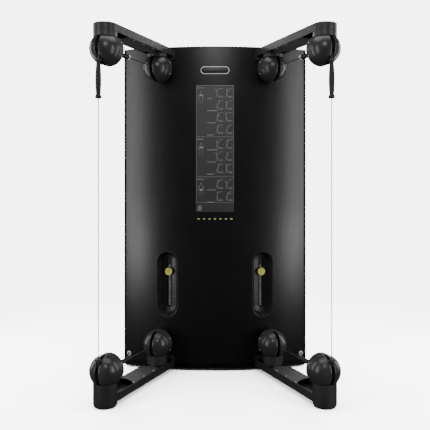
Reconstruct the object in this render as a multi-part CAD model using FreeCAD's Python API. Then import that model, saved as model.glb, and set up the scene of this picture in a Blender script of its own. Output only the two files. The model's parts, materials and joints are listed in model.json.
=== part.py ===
import FreeCAD, Part
import math
import os

# Functional trainer: a curved cabinet with two weight stacks and four splayed cable arms.
# Millimetres. X to the machine's right, Y to its rear, Z up.
# The origin is on the floor, at the middle of the footprint.

Vector = FreeCAD.Vector
UP = Vector(0, 0, 1)

# ---- driving dimensions ----------------------------------------------------------------

CABINET_TOP = 2260.0
DEPTH = 1110.0
REAR_Y = DEPTH / 2

PANEL_RADIUS = 1835.5
PANEL_AXIS_Y = 2025.0
PANEL_HALF_WIDTH = 647.5
PANEL_THICKNESS = 6.0
PANEL_BOTTOM = 52.0
EDGE_BAND = 15.0
SKIN = 3.0

COLUMN_X = 644.0
COLUMN_Y = -461.0
COLUMN_RADIUS = 71.0
ARM_ANGLE = 23.0
ARM_HEIGHT = 48.0
ARM_WALL = 5.0
UPPER_ARM_TOP = 2240.0
LOWER_ARM_BOTTOM = 30.0
ARM_END_Y = 330.0
COLUMN_PLINTH_TOP = 109.0
COLUMN_PLINTH_BOTTOM = 12.0

UPPER_BALL_Z = 2095.0
LOWER_BALL_Z = 208.0
BALL_RADIUS = 94.0
SOCKET_RADIUS = 97.0
CRADLE_HEIGHT = 99.0
SLOT_HALF = 11.0
BALL_WALL = 6.0
CHEEK = 4.0
BACK_PLATE = 5.0
RING_RADIUS = 93.0
RING_FRONT = 12.0
OUTER_RING_BACK = 62.0
INNER_RING_BACK = 50.0
HUB_RADIUS = 20.0
HUB_END = 44.0
SNOUT_RADIUS = 14.0
OUTER_SNOUT_ENDS = {1: 248.0, -1: 290.0}
INNER_SNOUT_END = 126.0
INNER_COLUMN_T = 636.0
INNER_COLUMN_RADIUS = 68.0

CABLE_RADIUS = 3.0
SHEAVE_PITCH_RADIUS = 36.0
SHEAVE_RIM_RADIUS = 40.0
SHEAVE_HALF_WIDTH = 7.0
AXLE_RADIUS = 6.0
AXLE_HEAD_RADIUS = 8.5
RUNNING_GAP = 0.05
GUIDE_MOUTH = 84.0

HANDLE_TOP = 2009.0
HANDLE_LENGTH = 213.0
HANDLE_END_RADIUS = 12.5
HANDLE_MID_RADIUS = 17.5

RECESS_X = 335.0
RECESS_Z = 601.0
RECESS_WIDTH = 140.0
RECESS_HEIGHT = 450.0
RECESS_DEPTH = 62.0
SLOT_Z = 607.0
SLOT_WIDTH = 36.0
SLOT_HEIGHT = 355.0
KNOB_Z = 685.0
KNOB_RADIUS = 27.5
SELECTOR_PITCH = 18.0
SELECTOR_POSITIONS = 16
SELECTOR_TOP_Z = 721.0

PLATE_THICKNESS = 24.5
PLATE_PITCH = 25.0
PLATE_WIDTH = 200.0
PLATE_DEPTH = 120.0
PLATE_COUNT = 16
LIFTED_PLATES = 5
STACK_Y = 460.0
STACK_BASE = 60.0
ROD_RADIUS = 10.0
ROD_OFFSET = 62.0
SHELF_Z = 1400.0

UPRIGHT_X = 480.0
FRAME_Y = (330.0, 390.0)
FLOOR_PLATE = (10.0, 20.0)
ANCHOR_SPACING_X = 900.0
ANCHOR_SPACING_Y = 90.0
ANCHOR_RADIUS = 7.0
ANCHOR_Y = 475.0

SIDES = {"left": -1, "right": 1}
LEVELS = {"upper": 1, "lower": -1}

# ---- small shape helpers ---------------------------------------------------------------


def box(x0, x1, y0, y1, z0, z1):
    return Part.makeBox(x1 - x0, y1 - y0, z1 - z0, Vector(x0, y0, z0))


def rod(radius, start, end):
    start, end = Vector(*start), Vector(*end)
    return Part.makeCylinder(radius, (end - start).Length, start, end - start)


def ball(radius):
    return Part.makeSphere(radius)


def turned(profile, base=(0, 0, 0), axis=(0, 0, 1)):
    """A solid of revolution about an axis, from (radius, height) points."""
    points = [Vector(radius, 0, height) for radius, height in profile]
    face = Part.Face(Part.makePolygon(points + [points[0]]))
    solid = face.revolve(Vector(0, 0, 0), UP, 360)
    solid.Placement = FreeCAD.Placement(Vector(*base), FreeCAD.Rotation(UP, Vector(*axis)))
    return solid


def fused(shapes):
    result = shapes[0].fuse(shapes[1:]) if len(shapes) > 1 else shapes[0]
    return result.removeSplitter()


def capsule_wire(width, height, y):
    """A vertical stadium outline in the plane of the given y."""
    r = width / 2
    straight = height / 2 - r
    top = Part.Arc(Vector(r, y, straight), Vector(0, y, straight + r), Vector(-r, y, straight))
    bottom = Part.Arc(Vector(-r, y, -straight), Vector(0, y, -straight - r), Vector(r, y, -straight))
    sides = [
        Part.LineSegment(Vector(-r, y, straight), Vector(-r, y, -straight)),
        Part.LineSegment(Vector(r, y, -straight), Vector(r, y, straight)),
    ]
    return Part.Wire([top.toShape(), sides[0].toShape(), bottom.toShape(), sides[1].toShape()])


def capsule(width, height, y0, y1):
    return Part.Face(capsule_wire(width, height, y0)).extrude(Vector(0, y1 - y0, 0))


def capsule_taper(front, back):
    """A tapered stadium between two (width, height, y) outlines."""
    return Part.makeLoft([capsule_wire(*front), capsule_wire(*back)], True, True)


def export(name, *shapes):
    solids = [solid for shape in shapes for solid in shape.Solids]
    shape = solids[0] if len(solids) == 1 else Part.makeCompound(solids)
    shape.exportStep("parts/" + name + ".step")


# ---- places ----------------------------------------------------------------------------


def on_arm(shape, side, t=0.0, z=0.0):
    """Put a local shape (x along the arm to the cabinet, y outwards from the middle) on an arm."""
    if side > 0:
        shape = shape.mirror(Vector(0, 0, 0), Vector(0, 1, 0))
    turn = 90 + side * ARM_ANGLE
    slope = math.radians(ARM_ANGLE)
    x = side * (COLUMN_X - t * math.sin(slope))
    y = COLUMN_Y + t * math.cos(slope)
    shape = shape.copy()
    shape.Placement = FreeCAD.Placement(Vector(x, y, z), FreeCAD.Rotation(UP, turn)).multiply(
        shape.Placement)
    return shape


def at_level(shape, level):
    """The lower corners hold the same pieces as the upper ones, upside down."""
    return shape if level > 0 else shape.mirror(Vector(0, 0, 0), UP)


def on_panel(shape, side, z):
    """Put a local shape (x across, y into the cabinet) on the curved front, at a recess."""
    angle = math.asin(RECESS_X / PANEL_RADIUS)
    x = side * RECESS_X
    y = PANEL_AXIS_Y - PANEL_RADIUS * math.cos(angle)
    shape = shape.copy()
    shape.Placement = FreeCAD.Placement(
        Vector(x, y, z), FreeCAD.Rotation(UP, side * math.degrees(angle))).multiply(shape.Placement)
    return shape


def panel_band(proud, depth, x0, x1, z0, z1):
    """A stretch of the curved front, from `proud` in front of it to `depth` behind it."""
    outer = Part.makeCylinder(PANEL_RADIUS + proud, z1 - z0, Vector(0, PANEL_AXIS_Y, z0))
    inner = Part.makeCylinder(PANEL_RADIUS - depth, z1 - z0 + 2, Vector(0, PANEL_AXIS_Y, z0 - 1))
    window = box(x0, x1, 0, PANEL_AXIS_Y / 2, z0, z1)
    return window.common(outer.cut(inner))


def panel_y(x, proud=0.0):
    return PANEL_AXIS_Y - math.sqrt((PANEL_RADIUS + proud) ** 2 - x * x)


# ---- cabinet ---------------------------------------------------------------------------

BAND_INSIDE = PANEL_HALF_WIDTH - EDGE_BAND
SIDE_FRONT = (641.0, panel_y(641.0) + 12)
SIDE_REAR = (592.0, 480.0)
REAR_CORNER_X = 510.0
COVER_SPLIT_Z = 1150.0


def rear_outline(inset):
    """The cabinet's plan outline behind the front, as edges from right to left."""
    front_x, front_y = SIDE_FRONT[0] - inset, SIDE_FRONT[1]
    side_x, side_y = SIDE_REAR[0] - inset, SIDE_REAR[1]
    rear_y = REAR_Y - inset
    bulge = (side_x - REAR_CORNER_X) * 0.29
    edges = [Part.LineSegment(Vector(front_x, front_y, 0), Vector(side_x, side_y, 0))]
    for sign in (1, -1):
        start = Vector(sign * side_x, side_y, 0)
        middle = Vector(sign * (side_x - bulge), rear_y - bulge, 0)
        end = Vector(sign * REAR_CORNER_X, rear_y, 0)
        edges.append(Part.Arc(start, middle, end))
    edges.append(Part.LineSegment(Vector(REAR_CORNER_X, rear_y, 0), Vector(-REAR_CORNER_X, rear_y, 0)))
    edges.append(Part.LineSegment(Vector(-side_x, side_y, 0), Vector(-front_x, front_y, 0)))
    return [edge.toShape() for edge in edges]


def cabinet_plan(inset, z0, z1):
    """A closed slab of the cabinet's whole plan, with the curved front as its front edge."""
    front_x, front_y = SIDE_FRONT[0] - inset, SIDE_FRONT[1]
    reach = PANEL_RADIUS - PANEL_THICKNESS - 0.5
    front_edge_y = PANEL_AXIS_Y - math.sqrt(reach ** 2 - front_x ** 2)
    arc = Part.Arc(Vector(front_x, front_edge_y, 0), Vector(0, PANEL_AXIS_Y - reach, 0),
                   Vector(-front_x, front_edge_y, 0))
    joins = [
        Part.LineSegment(Vector(sign * front_x, front_edge_y, 0), Vector(sign * front_x, front_y, 0))
        for sign in (1, -1)
    ]
    edges = rear_outline(inset) + [arc.toShape()] + [join.toShape() for join in joins]
    wire = Part.Wire(Part.__sortEdges__(edges))
    slab = Part.Face(wire).extrude(Vector(0, 0, z1 - z0))
    slab.translate(Vector(0, 0, z0))
    return slab


def arm_openings(gap):
    """The room that the four arms and the four inner cable tubes need through the front."""
    half = COLUMN_RADIUS + gap
    shapes = []
    for side in SIDES.values():
        for level, z0 in ((1, UPPER_ARM_TOP - ARM_HEIGHT), (-1, LOWER_ARM_BOTTOM)):
            slab = box(600, 1000, -half, half, z0 - gap, z0 + ARM_HEIGHT + 2 * gap)
            shapes.append(on_arm(slab, side))
            ball_z = UPPER_BALL_Z if level > 0 else LOWER_BALL_Z
            tube = rod(SNOUT_RADIUS + 1, (40, 0, 0), (300, 0, 0))
            shapes.append(on_arm(tube, side, INNER_COLUMN_T, ball_z))
    return shapes


def make_front_panel():
    panel = panel_band(0, PANEL_THICKNESS, -BAND_INSIDE, BAND_INSIDE, PANEL_BOTTOM, CABINET_TOP)
    cutters = arm_openings(1.0)
    for side in SIDES.values():
        hole = capsule(RECESS_WIDTH + 6, RECESS_HEIGHT + 6, -20, 40)
        cutters.append(on_panel(hole, side, RECESS_Z))
    return panel.cut(cutters)


def make_edge_trims():
    trims = []
    for side in SIDES.values():
        x0, x1 = sorted((side * (BAND_INSIDE + 0.4), side * PANEL_HALF_WIDTH))
        trims.append(panel_band(0, PANEL_THICKNESS, x0, x1, FLOOR_PLATE[1], CABINET_TOP))
    return trims


def make_kick_strips():
    strips = []
    for side in SIDES.values():
        x0, x1 = sorted((side * 32.0, side * (BAND_INSIDE - 2)))
        strips.append(panel_band(-4, 10, x0, x1, 20.5, PANEL_BOTTOM - 2))
    return [strip.cut(arm_openings(1.0)) for strip in strips]


def make_side_covers():
    covers = []
    for side in SIDES.values():
        corners = [
            Vector(side * SIDE_FRONT[0], SIDE_FRONT[1], 20.5),
            Vector(side * SIDE_REAR[0], SIDE_REAR[1] - 1, 20.5),
            Vector(side * (SIDE_REAR[0] - SKIN), SIDE_REAR[1] - 1, 20.5),
            Vector(side * (SIDE_FRONT[0] - SKIN), SIDE_FRONT[1], 20.5),
        ]
        face = Part.Face(Part.makePolygon(corners + [corners[0]]))
        covers.append(face.extrude(Vector(0, 0, CABINET_TOP - 27)))
    return covers


def make_rear_cover(z0, z1):
    """A folded sheet with rounded corners, ribbed inwards across its back."""
    shell = cabinet_plan(0, z0, z1).cut(cabinet_plan(SKIN, z0 - 1, z1 + 1))
    shell = shell.common(box(-700, 700, SIDE_REAR[1], REAR_Y + 1, z0, z1))
    vents = []
    for column in range(-2, 3):
        for row in range(8):
            x = column * 170.0
            z = z1 - 120 - row * 26
            vents.append(box(x - 55, x + 55, REAR_Y - 10, REAR_Y + 5, z, z + 8))
    return shell.cut(vents)


def make_top_cover():
    return cabinet_plan(0, CABINET_TOP - 6, CABINET_TOP)


def make_base_frame():
    """Floor plate, lower cross tube and the four anchor holes."""
    plate = cabinet_plan(0, *FLOOR_PLATE)
    tube = box(-UPRIGHT_X + 30, UPRIGHT_X - 30, FRAME_Y[0], FRAME_Y[1], FLOOR_PLATE[1], 90)
    bore = box(-UPRIGHT_X, UPRIGHT_X, FRAME_Y[0] + 4, FRAME_Y[1] - 4, FLOOR_PLATE[1] + 4, 86)
    frame = plate.fuse(tube.cut(bore))
    anchors = []
    for sign_x in (-1, 1):
        for sign_y in (-1, 1):
            x = sign_x * ANCHOR_SPACING_X / 2
            y = ANCHOR_Y + sign_y * ANCHOR_SPACING_Y / 2
            anchors.append(rod(ANCHOR_RADIUS, (x, y, 0), (x, y, 40)))
    return frame.cut(anchors).removeSplitter()


def square_tube(x, z0, z1):
    outer = box(x - 30, x + 30, FRAME_Y[0], FRAME_Y[1], z0, z1)
    return outer.cut(box(x - 26, x + 26, FRAME_Y[0] + 4, FRAME_Y[1] - 4, z0, z1))


def make_uprights():
    return [square_tube(side * UPRIGHT_X, FLOOR_PLATE[1], 2250) for side in SIDES.values()]


def make_crossbeams():
    """The top cross tube that carries the upper arms, and the shelf that holds the rods."""
    x = UPRIGHT_X - 30
    tube = box(-x, x, FRAME_Y[0], FRAME_Y[1], 2180, 2250)
    tube = tube.cut(box(-x, x, FRAME_Y[0] + 4, FRAME_Y[1] - 4, 2184, 2246))
    shelf = box(-x, x, FRAME_Y[0], 510, SHELF_Z, SHELF_Z + 12)
    return [tube, shelf]


# ---- weight stacks ---------------------------------------------------------------------


def stack_slab(side, z0, thickness, rod_gap):
    x = side * RECESS_X
    slab = box(x - PLATE_WIDTH / 2, x + PLATE_WIDTH / 2, STACK_Y - PLATE_DEPTH / 2,
               STACK_Y + PLATE_DEPTH / 2, z0, z0 + thickness)
    holes = [rod(ROD_RADIUS + rod_gap, (x + sign * ROD_OFFSET, STACK_Y, z0 - 1),
                 (x + sign * ROD_OFFSET, STACK_Y, z0 + thickness + 1)) for sign in (-1, 1)]
    return slab.cut(holes)


def make_resting_plates(side):
    count = PLATE_COUNT - LIFTED_PLATES
    return [stack_slab(side, STACK_BASE + i * PLATE_PITCH, PLATE_THICKNESS, 1.0) for i in range(count)]


def make_lifted_plates(side):
    """The pinned plates, and the head plate with its bushes and pulley yoke."""
    first = PLATE_COUNT - LIFTED_PLATES
    plates = [stack_slab(side, STACK_BASE + i * PLATE_PITCH, PLATE_PITCH, 1.0)
              for i in range(first, PLATE_COUNT)]
    head_z = STACK_BASE + PLATE_COUNT * PLATE_PITCH
    head = stack_slab(side, head_z, 40, 0.1)
    x = side * RECESS_X
    yoke = [box(x + sign * 14 - 3, x + sign * 14 + 3, STACK_Y - 25, STACK_Y + 25, head_z + 40, head_z + 120)
            for sign in (-1, 1)]
    axle = rod(8, (x - 14, STACK_Y, head_z + 95), (x + 14, STACK_Y, head_z + 95))
    return [fused(plates + [head] + yoke + [axle])]


def make_guide_rods():
    rods = []
    for side in SIDES.values():
        for sign in (-1, 1):
            x = side * RECESS_X + sign * ROD_OFFSET
            rods.append(rod(ROD_RADIUS, (x, STACK_Y, FLOOR_PLATE[1]), (x, STACK_Y, SHELF_Z)))
    return rods


def make_stack_buffers():
    """Rubber rings round the rods, under each stack."""
    rings = []
    for side in SIDES.values():
        for sign in (-1, 1):
            x = side * RECESS_X + sign * ROD_OFFSET
            ring = rod(24, (x, STACK_Y, FLOOR_PLATE[1]), (x, STACK_Y, STACK_BASE))
            rings.append(ring.cut(rod(ROD_RADIUS + 0.5, (x, STACK_Y, 0), (x, STACK_Y, 100))))
    return rings


# ---- weight selectors ------------------------------------------------------------------

RAIL_FRONT = RECESS_DEPTH + 10
RAIL_BACK = RAIL_FRONT + 8
CARRIAGE_FRONT = 60.0
KNOB_FRONT = 36.0
KNOB_DEPTH = 22.0
STEM_RADIUS = 5.0
RIM_PROUD = 2.2


def make_recess_tray(side):
    """A drawn tray with a rim that lies on the curved front, and a slot in its floor."""
    rim = panel_band(RIM_PROUD, 0, side * RECESS_X - 100, side * RECESS_X + 100, 300, 900)
    outline = capsule(RECESS_WIDTH + 14, RECESS_HEIGHT + 14, -20, 40)
    rim = rim.common(on_panel(outline, side, RECESS_Z))
    outer = capsule_taper((RECESS_WIDTH + 5, RECESS_HEIGHT + 5, -0.7),
                          (RECESS_WIDTH - 36, RECESS_HEIGHT - 36, RECESS_DEPTH + SKIN))
    hollow = capsule_taper((RECESS_WIDTH, RECESS_HEIGHT, -3.0),
                           (RECESS_WIDTH - 42, RECESS_HEIGHT - 42, RECESS_DEPTH))
    slot = capsule(SLOT_WIDTH, SLOT_HEIGHT, RECESS_DEPTH - 10, RECESS_DEPTH + 10)
    slot.translate(Vector(0, 0, SLOT_Z - RECESS_Z))
    cutters = [on_panel(shape, side, RECESS_Z) for shape in (hollow, slot)]
    return on_panel(outer, side, RECESS_Z).fuse(rim).cut(cutters).removeSplitter()


def selector_hole_heights():
    return [SELECTOR_TOP_Z - i * SELECTOR_PITCH for i in range(SELECTOR_POSITIONS)]


def make_selector_rail(side):
    rail = box(-17, 17, RAIL_FRONT, RAIL_BACK, 400, 815)
    holes = [rod(7, (0, RAIL_FRONT - 1, z), (0, RAIL_BACK + 1, z)) for z in selector_hole_heights()]
    return on_panel(rail.cut(holes), side, 0)


def make_selector_bushes(side):
    bushes = []
    for z in selector_hole_heights():
        ring = rod(7, (0, RAIL_FRONT, z), (0, RAIL_BACK, z))
        bushes.append(on_panel(ring.cut(rod(4.5, (0, 0, z), (0, 100, z))), side, 0))
    return bushes


def make_selector_carriage(side):
    """A slider between the tray and the rail, with a round boss through the slot."""
    block = box(-17, 17, RECESS_DEPTH + SKIN + 1, RAIL_FRONT - 0.5, -30, 30)
    edges = [edge for edge in block.Edges if abs(edge.tangentAt(0).y) > 0.9]
    block = block.makeFillet(6, edges)
    boss = turned([(0, 0), (13, 0), (15, 2), (15, RAIL_FRONT - CARRIAGE_FRONT - 1),
                   (0, RAIL_FRONT - CARRIAGE_FRONT - 1)], (0, CARRIAGE_FRONT, 0), (0, 1, 0))
    bore = rod(STEM_RADIUS + RUNNING_GAP, (0, 0, 0), (0, 100, 0))
    return on_panel(block.fuse(boss).cut(bore).removeSplitter(), side, KNOB_Z)


def make_selector_knob(side):
    """A dished round knob, and the plunger stem that it is fixed on."""
    rim = KNOB_RADIUS
    back = KNOB_FRONT + KNOB_DEPTH
    knob = turned([(0, 3), (rim - 9, 1), (rim - 4, 0), (rim - 1, 1.5), (rim, 4), (rim, KNOB_DEPTH - 5),
                   (rim - 5, KNOB_DEPTH), (0, KNOB_DEPTH)], (0, KNOB_FRONT, 0), (0, 1, 0))
    stem = rod(STEM_RADIUS, (0, back, 0), (0, RAIL_FRONT - 1, 0))
    return [on_panel(shape, side, KNOB_Z) for shape in (knob, stem)]


# ---- arms ------------------------------------------------------------------------------

COVER_THICKNESS = 4.0
COVER_HALF = 65.0
COVER_END_T = 500.0
COVER_SCREW_Y = -57.0
COVER_SCOOP = {"upper": (0.0, 0.0, 165.0), "lower": (130.0, 56.0, 143.0)}
SEAT_RADIUS = 60.0


def open_channel(z0, z1, open_top):
    """A U channel along the arm, rounded at its outer end, filled under the two columns."""
    body = box(0, 1000, -COLUMN_RADIUS, COLUMN_RADIUS, z0, z1)
    body = fused([body, rod(COLUMN_RADIUS, (0, 0, z0), (0, 0, z1))])
    inner = COLUMN_RADIUS - ARM_WALL
    low, high = (z0 + 6, z1 + 1) if open_top else (z0 - 1, z1 - 6)
    hollow = box(20, 1000, -inner, inner, low, high)
    keep = [rod(COLUMN_RADIUS - 0.5, (0, 0, low), (0, 0, high)),
            rod(SEAT_RADIUS, (INNER_COLUMN_T, 0, low), (INNER_COLUMN_T, 0, high))]
    return body.cut(hollow.cut(keep))


def behind_frame():
    return box(-1000, 1000, ARM_END_Y, 1500, -10, 2400)


def make_upper_arm(side):
    z0, z1 = UPPER_ARM_TOP - ARM_HEIGHT, UPPER_ARM_TOP
    arm = open_channel(z0, z1, False)
    arm = arm.cut(rod(COLUMN_RADIUS + 1, (0, 0, z0 - 1), (0, 0, UPPER_BALL_Z + CRADLE_HEIGHT)))
    return on_arm(arm, side).cut(behind_frame())


def make_lower_arm(side):
    z0 = LOWER_ARM_BOTTOM
    chamfer = 3.0
    plinth = turned([(0, COLUMN_PLINTH_BOTTOM), (COLUMN_RADIUS - chamfer, COLUMN_PLINTH_BOTTOM),
                     (COLUMN_RADIUS, COLUMN_PLINTH_BOTTOM + chamfer),
                     (COLUMN_RADIUS, COLUMN_PLINTH_TOP), (0, COLUMN_PLINTH_TOP)])
    arm = fused([open_channel(z0, z0 + ARM_HEIGHT, True), plinth])
    return on_arm(arm, side).cut(behind_frame())


def make_arm_cover(side, level_name, z0):
    """A flush plate, scooped at its outer end and round at its inner end."""
    plate = box(60, COVER_END_T, -COVER_HALF, COVER_HALF, z0, z0 + COVER_THICKNESS)
    plate = fused([plate, rod(COVER_HALF, (COVER_END_T, 0, z0), (COVER_END_T, 0, z0 + COVER_THICKNESS))])
    x, y, radius = COVER_SCOOP[level_name]
    scoop = rod(radius, (x, y, z0 - 1), (x, y, z0 + COVER_THICKNESS + 1))
    outwards = box(-radius, x, -200, 200, z0 - 1, z0 + COVER_THICKNESS + 1)
    return on_arm(plate.cut([scoop, outwards]), side)


def make_arm_covers():
    heights = {"upper": UPPER_ARM_TOP - ARM_HEIGHT,
               "lower": LOWER_ARM_BOTTOM + ARM_HEIGHT - COVER_THICKNESS}
    return [make_arm_cover(side, level, z) for side in SIDES.values() for level, z in heights.items()]


def make_cover_screws():
    """Three along the inner edge of each cover."""
    screws = []
    lower_z = LOWER_ARM_BOTTOM + ARM_HEIGHT
    for side in SIDES.values():
        for t in (232.0, 355.0, 478.0):
            for z, way in ((UPPER_ARM_TOP - ARM_HEIGHT, -1), (lower_z, 1)):
                head = turned([(0, 0), (5, 0), (4.2, way * 2.0), (0, way * 2.6)], (t, COVER_SCREW_Y, z))
                screws.append(on_arm(head, side))
    return screws


ROOT_FLANGE = {1: (2166.0, 2243.0), -1: (27.0, 104.0)}


def make_root_flanges():
    """Rounded collars on the cabinet's front, round each arm's root."""
    flanges = []
    openings = arm_openings(0.5)
    for side in SIDES.values():
        for z0, z1 in ROOT_FLANGE.values():
            x0, x1 = sorted((side * 281.0, side * 452.0))
            band = panel_band(12, 0, x0, x1, z0, z1)
            window = Part.makeBox(x1 - x0, 400, z1 - z0, Vector(x0, 0, z0))
            edges = [edge for edge in window.Edges if abs(edge.tangentAt(0).y) > 0.9]
            window = window.makeFillet(24, edges)
            rounded = band.common(window).cut(openings)
            flanges.extend(solid for solid in rounded.Solids if solid.Volume > 1000)
    return flanges


# ---- cable balls -----------------------------------------------------------------------


def make_cradle(radius, height):
    """A column end with a spherical seat for the ball, and a groove for the ball's ring."""
    groove = rod(RING_RADIUS + RUNNING_GAP, (RING_FRONT - 3, 0, 0), (120, 0, 0))
    return rod(radius, (0, 0, 0), (0, 0, height)).cut([ball(SOCKET_RADIUS), groove])


def sheave_centre(outer):
    """Outer sheaves turn the cable from the tube to the vertical run; inner ones carry it."""
    return (-SHEAVE_PITCH_RADIUS, 0, -SHEAVE_PITCH_RADIUS) if outer else (0, 0, -SHEAVE_PITCH_RADIUS)


def make_ball_shell(outer):
    """Two hollow domes on a back plate; an outer ball's plate has a tubular hub."""
    back = RING_FRONT - 2 if outer else RING_FRONT
    front = back - BACK_PLATE
    cheek_y = SLOT_HALF + CHEEK
    x, _, z = sheave_centre(outer)
    openings = [rod(2 * CABLE_RADIUS, (-60, 0, 0), (60, 0, 0)),
                rod(AXLE_RADIUS, (x, -cheek_y, z), (x, cheek_y, z)),
                rod(AXLE_HEAD_RADIUS + 0.5, (x, cheek_y, z), (x, 150, z)),
                rod(AXLE_HEAD_RADIUS + 0.5, (x, -150, z), (x, -cheek_y, z))]
    hollow = ball(BALL_RADIUS - BALL_WALL).cut(box(-200, 200, -cheek_y, cheek_y, -200, 200))
    slot = box(-200, 200, -SLOT_HALF, SLOT_HALF, -200, 200)
    behind = box(front, 200, -200, 200, -200, 200)
    domes = ball(BALL_RADIUS).cut([hollow, slot, behind] + openings)
    plate = rod(math.sqrt(BALL_RADIUS ** 2 - back ** 2), (front, 0, 0), (back, 0, 0))
    if outer:
        plate = plate.fuse(rod(HUB_RADIUS, (back - 1, 0, 0), (HUB_END, 0, 0)))
    else:
        plate = plate.cut(box(0, 200, -SLOT_HALF, SLOT_HALF, -200, 8))
    return [domes.removeSplitter(), plate.cut(openings).removeSplitter()]


def make_axle(outer):
    x, _, z = sheave_centre(outer)
    half = SLOT_HALF + CHEEK
    shaft = rod(AXLE_RADIUS, (x, -half, z), (x, half, z))
    heads = [rod(AXLE_HEAD_RADIUS, (x, sign * half, z), (x, sign * (half + 5), z)) for sign in (-1, 1)]
    return fused([shaft] + heads)


def make_sheave(outer):
    """A grooved pulley with running clearance on its axle."""
    w = SHEAVE_HALF_WIDTH
    root = SHEAVE_PITCH_RADIUS - CABLE_RADIUS - 0.3
    profile = [(AXLE_RADIUS + RUNNING_GAP, -w), (12, -w), (14, -w + 1.5), (28, -w + 1.5), (31, -w),
               (SHEAVE_RIM_RADIUS, -w), (SHEAVE_RIM_RADIUS, -w + 1.5), (root, -1.8), (root, 1.8),
               (SHEAVE_RIM_RADIUS, w - 1.5), (SHEAVE_RIM_RADIUS, w), (31, w), (28, w - 1.5),
               (14, w - 1.5), (12, w), (AXLE_RADIUS + RUNNING_GAP, w)]
    return turned(profile, sheave_centre(outer), (0, 1, 0))


BOSS_LENGTH = 16.0


def make_ring(outer):
    """The fixed ring behind a ball: a cup whose boss holds the cable tube."""
    r = RING_RADIUS
    inner = r - BALL_WALL
    back = OUTER_RING_BACK if outer else INNER_RING_BACK
    boss_end = back + BOSS_LENGTH
    cable_bore = 2 * CABLE_RADIUS
    outside = [(r - 2, RING_FRONT), (r, RING_FRONT + 2), (r, back - 4), (r - 4, back), (34, back),
               (26, back + 12), (SNOUT_RADIUS + 3, boss_end), (cable_bore, boss_end)]
    inside = [(inner, back - BALL_WALL), (inner, RING_FRONT)]
    if outer:
        bearing = HUB_RADIUS + RUNNING_GAP
        hub = [(cable_bore, HUB_END + 1), (bearing, HUB_END + 1), (bearing, 20), (30, 20),
               (30, back - BALL_WALL)]
    else:
        hub = [(cable_bore, back - BALL_WALL)]
    return turned(outside + hub + inside, (0, 0, 0), (1, 0, 0))


def make_snout(ring_back, end):
    """The tube on a ring's boss that the cable runs out of."""
    bore, start = 2 * CABLE_RADIUS, ring_back + BOSS_LENGTH
    return turned([(bore, start), (SNOUT_RADIUS, start), (SNOUT_RADIUS, end - 2), (SNOUT_RADIUS - 2, end),
                   (bore, end)], (0, 0, 0), (1, 0, 0))


def make_guide():
    """A fork on the sheave's axle that holds the cable's bell-mouthed exit."""
    centre_x = -2 * SHEAVE_PITCH_RADIUS
    low = -GUIDE_MOUTH
    axle_x = -SHEAVE_PITCH_RADIUS
    block = box(centre_x - 12, centre_x + 8, -10.5, 10.5, low, low + 18)
    plates = []
    for sign in (-1, 1):
        y0, y1 = sorted((sign * 8.0, sign * 10.5))
        plate = box(centre_x - 12, axle_x + 14, y0, y1, low + 14, axle_x + 12)
        plates.append(plate.cut(rod(AXLE_RADIUS, (axle_x, -20, axle_x), (axle_x, 20, axle_x))))
    ears = box(centre_x - 8, centre_x + 4, -19, 19, low, low + 8)
    bore = rod(4, (centre_x, 0, low - 1), (centre_x, 0, 0))
    mouth = Part.makeCone(7, 4, 5, Vector(centre_x, 0, low - 0.01), UP)
    reach = ball(BALL_RADIUS - 1).fuse(box(-200, 0, -30, 30, -200, -60))
    return fused([block, ears] + plates).cut([bore, mouth]).common(reach).removeSplitter()


def swept_cable(points_to_edges):
    wire = Part.Wire(points_to_edges)
    start = points_to_edges[0].Vertexes[0].Point
    direction = points_to_edges[0].tangentAt(points_to_edges[0].FirstParameter)
    circle = Part.Wire(Part.makeCircle(CABLE_RADIUS, start, direction))
    return wire.makePipeShell([circle], True, False)


def make_cable_bend(run_end):
    """From the ball's hub, a quarter turn over the sheave, and down to the run's end."""
    r = SHEAVE_PITCH_RADIUS
    back = HUB_END - 1
    corner = r * math.sqrt(0.5)
    edges = [
        Part.LineSegment(Vector(back, 0, 0), Vector(-r, 0, 0)).toShape(),
        Part.Arc(Vector(-r, 0, 0), Vector(-r - corner, 0, -r + corner), Vector(-2 * r, 0, -r)).toShape(),
        Part.LineSegment(Vector(-2 * r, 0, -r), Vector(-2 * r, 0, run_end)).toShape(),
    ]
    return swept_cable(edges)


def make_arm_cable():
    """The straight run through the outer tube, over the inner sheave, into the cabinet."""
    return rod(CABLE_RADIUS, (HUB_END, 0, 0), (INNER_COLUMN_T + INNER_SNOUT_END + 20, 0, 0))


def make_ring_screws(back):
    """Small button heads on the ring's flank, on the machine's inner side."""
    heads = []
    for angle in (25, -25):
        y, z = -math.cos(math.radians(angle)), math.sin(math.radians(angle))
        base = (back - 18, y * RING_RADIUS, z * RING_RADIUS)
        heads.append(turned([(0, 0), (4.5, 0), (4.5, 1.0), (3.6, 2.2), (0, 2.6)], base, (0, y, z)))
    return heads


# ---- handles ---------------------------------------------------------------------------


def handle_place(shape, side):
    return on_arm(shape, side, -2 * SHEAVE_PITCH_RADIUS)


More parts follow.
